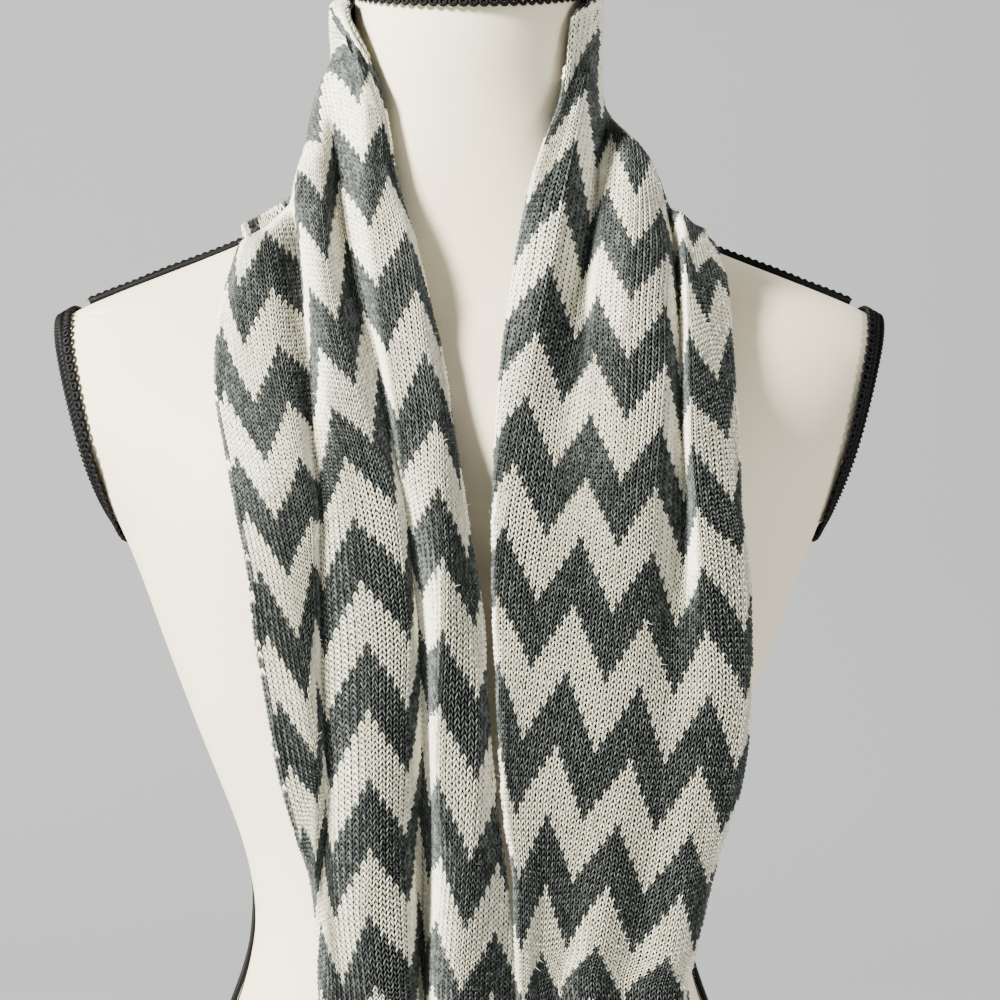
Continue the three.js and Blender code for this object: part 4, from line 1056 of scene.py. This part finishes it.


# %% [markdown]
# ## Fuzz
# Every spun yarn sheds a few loose fibres, and against a dark ground they show as a faint halo. Each
# fibre takes the pale end of its yarn's shades, a painted highlight for that halo. A fibre is a
# narrow curved ribbon of three faces, and they stand on two stitches in five, picked at random,
# each with its own length and way.

# %% Loose fibres
FIBRE = np.array([(-0.5, 0, 0), (0.5, 0, 0), (-0.4, 0.45, 0.6), (0.4, 0.45, 0.6), (0, 1.0, 0.75)])
FIBRE_FACES = np.array([(0, 1, 3), (0, 3, 2), (2, 3, 4)])
FIBRE_WIDE = 0.13
FIBRE_LENGTHS = (1.2, 3.4)
FIBRE_SHARE = 0.4
# painted highlight: every fibre takes this pale strand's shades, for the lit halo of the fuzz
FIBRE_HIGHLIGHT_STRAND = 0.8  # a pale strand's number


def fuzz_piece(name, at, ways, cream):
    """Loose fibres on some of the stitches, in the yarn of each."""
    picked = np.nonzero(draws.random(len(at)) < FIBRE_SHARE)[0]
    turn = draws.uniform(0, 2 * math.pi, (len(picked), 1))
    wide, long = unit(ways[picked, 0]), unit(ways[picked, 1])
    length = draws.uniform(*FIBRE_LENGTHS, (len(picked), 1))
    lean = wide * np.cos(turn) + long * np.sin(turn)
    aside = wide * -np.sin(turn) + long * np.cos(turn)
    frames = np.stack([aside * FIBRE_WIDE, lean * length, ways[picked, 2] * OUT_SIGN * length], axis=1)
    points, faces = copies(FIBRE, FIBRE_FACES, at[picked], frames)
    piece = link_mesh(name, points, faces, [CREAM_YARN, GREY_YARN])
    in_grey = np.repeat(~cream[picked], len(FIBRE_FACES)).astype(int)
    piece.data.polygons.foreach_set("material_index", in_grey)
    # painted highlight: all fibres take a pale strand's shades
    number_strands(piece, np.full(len(points), FIBRE_HIGHLIGHT_STRAND))
    return piece


# %% Every stretch's stitches and fuzz
for name, (first, last) in STRETCHES.items():
    wale, course, at, ways = stitch_frames(first, last)
    in_seam = wale <= SEAM_WALE
    # seam stitches: a real mix of both yarns, mostly grey as painted shade at the turned edge
    cream = np.where(in_seam, draws.random(len(wale)) < SEAM_CREAM_UNDER_PAINTED_SHADE, is_cream(wale, course))
    knit = [
        stitch_piece(f"scarf_{name}_cream_stitches", at[cream], ways[cream], CREAM_YARN),
        stitch_piece(f"scarf_{name}_grey_stitches", at[~cream], ways[~cream], GREY_YARN),
        fuzz_piece(f"scarf_{name}_fuzz", at, ways, cream),
    ]
    print(name, "stitches", len(wale))

# %% [markdown]
# ## The form's cover
# A display form is a foam body under a tight cover of fine canvas. The CAD solid has its shape, so a
# copy is merged into one skin, its triangles are joined to quads, the cut edges are creased, and a
# subdivision surface makes it smooth.

# %% Smooth copies of the form's solids
SAME_POINT = 2e-5  # metres
QUAD_BEND, QUAD_SHAPE = 25, 60  # degrees, up to which two triangles are one quad
EDGE_CREASE = 0.8
SMOOTH_UNDER = 40  # degrees
SMOOTH_LEVELS = 2
SHARP_OVER = {  # degrees, over which an edge of a solid is a cut edge
    "form_torso": 42,
    "form_neck_cap": 60,
    "form_arm_plate_left": 60,
    "form_arm_plate_right": 60,
}


def smooth_copy(node, sharp):
    """A copy of a solid, merged, in quads, creased at its sharp edges and subdivided."""
    bpy.ops.object.select_all(action="DESELECT")
    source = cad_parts[node]
    mesh = source.data.copy()
    piece = bpy.data.objects.new(f"{node}_cover", mesh)
    bpy.context.collection.objects.link(piece)
    bpy.context.view_layer.objects.active = piece
    piece.select_set(True)
    bpy.ops.object.mode_set(mode="EDIT")
    bpy.ops.mesh.select_all(action="SELECT")
    bpy.ops.mesh.remove_doubles(threshold=SAME_POINT)
    bpy.ops.mesh.tris_convert_to_quads(
        face_threshold=math.radians(QUAD_BEND), shape_threshold=math.radians(QUAD_SHAPE)
    )
    bpy.ops.object.mode_set(mode="OBJECT")
    work = bmesh.new()
    work.from_mesh(mesh)
    crease = work.edges.layers.float.new("crease_edge")
    for edge in work.edges:
        if len(edge.link_faces) == 2 and edge.calc_face_angle(0) > math.radians(sharp):
            edge[crease] = EDGE_CREASE
    work.to_mesh(mesh)
    work.free()
    smooth = piece.modifiers.new("smooth", "SUBSURF")
    smooth.levels = smooth.render_levels = SMOOTH_LEVELS
    bpy.ops.object.modifier_apply(modifier="smooth")
    bpy.ops.object.shade_smooth_by_angle(angle=math.radians(SMOOTH_UNDER))
    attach(piece, "root")
    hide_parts(node)
    return piece


# %% The cover's cloth
RIB_PITCH = 0.0012  # metres


def cover_cloth():
    """Fine warm-white canvas: close level ribs, crossed by finer ones, the ribs' light and shade painted
    into the colour, and a little uneven tone.
    """
    look = Look("cover_canvas", Roughness=0.88, Sheen_Weight=0.1, Specular_IOR_Level=0.25)
    across, deep, up = look.parts(look.place())
    wander = look.noise(60) * RIB_PITCH
    weft = (up + wander) * (2 * math.pi / RIB_PITCH)
    warp = (across + deep + wander) * (2 * math.pi / RIB_PITCH)
    weave = weft.sine() * 0.5 + warp.sine() * 0.3
    fibre = look.noise(1500)
    tone = look.noise(7)
    base = look.ramp(tone, [(0.3, rgb(242, 229, 199)), (0.7, rgb(247, 236, 209))])
    # painted light and shade: the colour is lighter on the ribs and darker between them, mixed with random
    # fibre tone
    light = weave * 0.2 + fibre * 0.5 + 0.25
    thread = look.ramp(light, [(0.1, rgb(226, 219, 205)), (0.7, rgb(255, 255, 255))])
    look.wear("Base Color", look.blend(0.45, base, thread, "MULTIPLY"))
    look.bump(weave * 0.6 + fibre * 0.8, 0.2, 0.0002)
    return look.material


COVER = cover_cloth()
for node, sharp in SHARP_OVER.items():
    piece = smooth_copy(node, sharp)
    piece.data.materials.clear()
    piece.data.materials.append(COVER)
    print(node, len(piece.data.polygons))

# %% [markdown]
# ## Where the trims run
# The edges of the cover are hidden by trims glued on: a braid round each arm's cut, one along each
# shoulder up to the neck, one round the neck's top, and a narrow ribbon down each side. Each runs on
# a line of the cover, so the line is found from the form's table, with the way across the trim and
# the way out from the cover at each of its stations.

# %% Lines on the cover
ARM_PLATE_TOP = {"x": 202.0, "z": 561.0}
ARM_PLATE_BOTTOM = {"x": 173.5, "z": 457.5}
TRIM_GAP = 0.5
NECK_TRIM_GAP = 1.2
STATIONS = 90
SHOULDER_SPAN = (567.5, 717)  # the trims' lowest and highest levels
SEAM_SPAN = (1.5, 447)
SEAM_WANDER = 0.16  # how far the side seam leans to the front at the hip and to the back above it
SEAM_CROSSING = (225, 300)


def cover_point(z, turn, side):
    """The cover's point at a level, a turn from the side, on the front (-1) or the back (1)."""
    s = section_at(z)
    x = s["half"] * np.sign(np.cos(turn)) * np.abs(np.cos(turn)) ** (2 / s["power"])
    deep = np.where(side < 0, s["front"] + bust_rise(x, z), s["back"])
    y = s["middle"] + side * deep * np.abs(np.sin(turn)) ** (2 / s["power"])
    return np.stack([x, y, z + neck_shear(y, z)], axis=-1)


def cover_out(p):
    return unit(cover_slope(p))


def on_cover(p, gap):
    """The nearest points of the cover, a gap above it."""
    return settle(p, lambda _: gap, -np.inf)


def mirrored(hand, *ways):
    """The same line on the left (-1) or the right (1)."""
    return [w * np.array([hand, 1, 1]) for w in ways]


def arm_line(hand):
    """Round an arm's cut, up the front and down the back."""
    rise = ARM_PLATE_TOP["z"] - ARM_PLATE_BOTTOM["z"]
    lean = ARM_PLATE_TOP["x"] - ARM_PLATE_BOTTOM["x"]
    turn = np.linspace(0, 2 * math.pi, 2 * STATIONS, endpoint=False)
    z = ARM_PLATE_BOTTOM["z"] + rise * (1 - np.cos(turn)) / 2
    s = section_at(z)
    cut = ARM_PLATE_BOTTOM["x"] + (z - ARM_PLATE_BOTTOM["z"]) * lean / rise
    share = np.minimum(1, cut / s["half"])
    at = cover_point(z, np.arccos(share ** (s["power"] / 2)), np.where(turn < math.pi, -1, 1))
    out = cover_out(at)
    inward = np.array([-rise, 0, lean]) / math.hypot(rise, lean)
    side = unit(inward - out * (out @ inward)[:, None])
    return mirrored(hand, at, side, out)


def shoulder_line(hand):
    """Up the shoulder from the arm's cut to the neck."""
    z = np.linspace(*SHOULDER_SPAN, STATIONS)
    at = cover_point(z, np.zeros(STATIONS), -1)
    side = np.tile([0.0, 1.0, 0.0], (STATIONS, 1))
    return mirrored(hand, at, side, cover_out(at))


def neck_line():
    """Round the neck's sloping top."""
    bearing = np.linspace(0, 2 * math.pi, 2 * STATIONS, endpoint=False)
    z = np.full(len(bearing), NECK_TOP)
    at = cover_point(z, np.arccos(np.cos(bearing)), np.where(np.sin(bearing) < 0, -1, 1))
    out = np.stack([np.cos(bearing), np.sin(bearing), 0 * bearing], axis=-1)
    return at, np.tile([0.0, 0.0, -1.0], (len(bearing), 1)), out


def side_line(hand):
    """Down the side seam, from under the arm to the hem."""
    z = np.linspace(*SEAM_SPAN, STATIONS)
    wander = SEAM_WANDER * (1 - 2 * smooth_step(z, *SEAM_CROSSING))
    at = cover_point(z, np.abs(wander), np.where(wander > 0, -1, 1))
    out = cover_out(at)
    across = np.array([0.0, 1.0, 0.0])
    side = unit(across - out * (out @ across)[:, None])
    return mirrored(hand, at, side, out)


print("arm cut", len(arm_line(1)[0]), "stations")

# %% [markdown]
# ## Gimp braid
# Gimp is a flat trimming made on a small loom: fine cords are laid to a herringbone over a narrow
# tape, and another cord stands out along one edge in round loops. Here a thin tape follows the
# line, and a short plump cord and a round loop are modelled once and copied along it, each turned
# to the cover at its place.

# %% The braid's small shapes
LOOP_PITCH = 4.6
LOOP_SEGMENTS = 12
LOOP_MIDDLE = 0.5  # how high the ring's own middle lies
LOOP_RADIUS, LOOP_THICK = 1.65, 1.05
CORD_END = 0.1


def slanted_cord(reach, slant, half, high):
    """A short cord from the tape's middle to its edge, plump between two pointed ends."""
    points = [(0.0, -slant / 2, CORD_END)]
    for share in (0.25, 0.75):
        s, t = reach * share, slant * (share - 0.5)
        points += [(s, t - half, 0.0), (s, t, high), (s, t + half, 0.0)]
    points.append((reach, slant / 2, CORD_END))
    return np.array(points)


def round_loop(radius, thick):
    """A cord bent to a flat ring, four-sided."""
    points, faces = [], []
    section = ((-thick, 0), (0, thick), (thick, 0), (0, -thick))
    for i in range(LOOP_SEGMENTS):
        turn = 2 * math.pi * i / LOOP_SEGMENTS
        for wide, high in section:
            far = radius + wide
            points.append((far * math.cos(turn), far * math.sin(turn), LOOP_MIDDLE + high))
        for k in range(4):
            j = (i + 1) % LOOP_SEGMENTS
            faces.append((4 * i + k, 4 * j + k, 4 * j + (k + 1) % 4, 4 * i + (k + 1) % 4))
    return np.array(points), np.array(faces)


CORD_FACES = left_faces  # a cord has a leg's faces
LOOP_POINTS, LOOP_FACES = round_loop(LOOP_RADIUS, LOOP_THICK)
print("a loop has", len(LOOP_FACES), "faces")

# %% The braid's material


def black_gimp():
    """Black rayon cord: deep, with a soft lustre along the fine threads wound round it."""
    look = Look("black_gimp", Roughness=0.6, Specular_IOR_Level=0.15)
    thread = look.noise(1800)
    look.wear("Base Color", look.ramp(thread, [(0.35, rgb(4, 4, 5)), (0.7, rgb(13, 13, 14))]))
    look.bump(thread, 0.4, 0.0003)
    return look.material


GIMP = black_gimp()

# %% Braids and ribbons
TAPE_SPOTS = 5
LOOP_DROP = 0.3
CORD = {"pitch": 2.5, "half": 1.15, "high": 1.4}
BROAD_CORD = {"pitch": 3.8, "half": 2.6, "high": 1.3}
TRIMS = {  # the tape's two edges and thickness, the cords' foot, their rows and the loops' middle
    "neck": {
        "tape": (-0.5, 4.2, 0.8), "foot": 0.7, "cord": CORD,
        "rows": [(1.0, -1.6, 1.3), (1.0, 1.8, 1.3)], "loops": 4.2,
    },
    "arm": {
        "tape": (-1.6, 6.5, 0.9), "foot": 0.8, "cord": CORD,
        "rows": [(1.0, -2.6, 1.9), (1.0, 2.8, 1.9)], "loops": 6.2,
    },
    "shoulder": {
        "tape": (-2.9, 2.9, 2.6), "foot": 2.5, "cord": BROAD_CORD,
        "rows": [(0.0, -2.9, 1.7), (0.0, 2.9, 1.7)], "loops": None,
    },
    "ribbon": {"tape": (-2.5, 2.5, 2.4), "rows": []},
}


def even_stations(line, pitch, is_closed):
    """Places a pitch apart on a line, each with the way across, the way along and the way out."""
    at, side, out = line
    if is_closed:
        at, side, out = (np.concatenate([a, a[:1]]) for a in (at, side, out))
    far = np.concatenate([[0], np.cumsum(np.linalg.norm(np.diff(at, axis=0), axis=-1))])
    count = int(round(far[-1] / pitch))
    stops = (np.arange(count) + 0.5) * far[-1] / count
    place, across, up = (
        np.stack([np.interp(stops, far, values[:, c]) for c in range(3)], axis=-1)
        for values in (at, side, out)
    )
    across, up = unit(across), unit(up)
    return place, np.stack([across, unit(np.cross(up, across)), up], axis=1)


def tape(node, line, style, gap, is_closed, is_upright):
    """A thin band that follows the cover along a line and takes the CAD trim's place."""
    at, side, out = line
    low, high, thick = style["tape"]
    reach = np.linspace(low, high, TAPE_SPOTS)
    flat = at[:, None] + side[:, None] * reach[None, :, None]
    if is_upright:
        out = np.repeat(out[:, None], TAPE_SPOTS, axis=1)
    else:
        flat = on_cover(flat, 0.0)
        out = cover_out(flat)
    rings = np.concatenate([flat + out * gap, (flat + out * (gap + thick))[:, ::-1]], axis=1)
    count, size = rings.shape[:2]
    faces = []
    for r in range(count if is_closed else count - 1):
        this, later = r * size, (r + 1) % count * size
        for i in range(size):
            j = (i + 1) % size
            faces.append((this + i, this + j, later + j, later + i))
    if not is_closed:
        faces += [range(size)[::-1], range(size * (count - 1), size * count)]
    piece = link_mesh(f"{node}_tape", rings.reshape(-1, 3), faces, [GIMP])
    face_outward(piece)
    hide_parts(node)


def settled(origin, ways, aside, gap, is_upright):
    """Places moved across the trim and laid on the cover there, but upright round the neck."""
    origin = origin + ways[:, 0] * aside
    if is_upright:
        return origin + ways[:, 2] * gap, ways
    origin = on_cover(origin, gap)
    up = cover_out(origin)
    along = unit(ways[:, 1] - up * (ways[:, 1] * up).sum(axis=-1, keepdims=True))
    across = np.cross(along, up)
    across *= np.sign((across * ways[:, 0]).sum(axis=-1, keepdims=True))
    return origin, np.stack([across, along, up], axis=1)


def trim(node, line, style, gap=TRIM_GAP, is_closed=False, is_upright=False):
    """A tape with its rows of cords, each (start, reach, slant), and its loops, if it has them."""
    tape(node, line, style, gap, is_closed, is_upright)
    if not style["rows"]:
        return
    cord, foot = style["cord"], gap + style["foot"]
    shapes = [
        (slanted_cord(reach, slant, cord["half"], cord["high"]), CORD_FACES, cord["pitch"], start, foot)
        for start, reach, slant in style["rows"]
    ]
    if style["loops"] is not None:
        shapes.append((LOOP_POINTS, LOOP_FACES, LOOP_PITCH, style["loops"], foot - LOOP_DROP))
    parts, faces, base = [], [], 0
    for shape, shape_faces, pitch, aside, height in shapes:
        origin, ways = even_stations(line, pitch, is_closed)
        points, tiled = copies(shape, shape_faces, *settled(origin, ways, aside, height, is_upright))
        parts.append(points)
        faces += [tuple(f + base) for f in tiled]
        base += len(points)
    link_mesh(f"{node}_cords", np.concatenate(parts), faces, [GIMP])


trim("braid_neck", neck_line(), TRIMS["neck"], NECK_TRIM_GAP, is_closed=True, is_upright=True)
for side, hand in (("left", -1), ("right", 1)):
    trim(f"braid_arm_{side}", arm_line(hand), TRIMS["arm"], is_closed=True)
    trim(f"braid_shoulder_{side}", shoulder_line(hand), TRIMS["shoulder"])
    trim(f"ribbon_side_{side}", side_line(hand), TRIMS["ribbon"])

# %% [markdown]
# ## The room
# The form stands on a pale sheet of paper that rolls up into the wall behind, as in a studio, so
# that no edge shows.

# %% The paper roll
PAPER_WIDE = 9  # metres, as are the next ones
PAPER_FORWARD = 2.4
PAPER_RISE = 5
PAPER_CURVE = 1.2
CURVE_STEPS = 16
paper = Look("paper_roll", Base_Color=rgb(168, 172, 173), Roughness=0.9)
bpy.ops.object.select_all(action="DESELECT")
bpy.ops.mesh.primitive_plane_add(size=PAPER_WIDE, location=(0, -PAPER_FORWARD, 0))
floor = bpy.context.object
floor.name = "floor"
bpy.ops.object.transform_apply(location=True, rotation=True, scale=True)


def select_back_edge():
    """Selects the edge on the floor behind the form."""
    for edge in floor.data.edges:
        ends = [floor.data.vertices[v].co for v in edge.vertices]
        edge.select = all(end.y > 1 and end.z < 1 for end in ends)


select_back_edge()
bpy.ops.object.mode_set(mode="EDIT")
bpy.ops.mesh.select_mode(type="EDGE")
bpy.ops.mesh.extrude_edges_move(TRANSFORM_OT_translate={"value": (0, 0, PAPER_RISE)})
bpy.ops.mesh.select_all(action="DESELECT")
bpy.ops.object.mode_set(mode="OBJECT")
select_back_edge()
bpy.ops.object.mode_set(mode="EDIT")
bpy.ops.mesh.bevel(offset=PAPER_CURVE, segments=CURVE_STEPS)
bpy.ops.object.mode_set(mode="OBJECT")
bpy.ops.object.shade_smooth()
floor.data.materials.append(paper.material)
print("paper", len(floor.data.polygons), "faces")
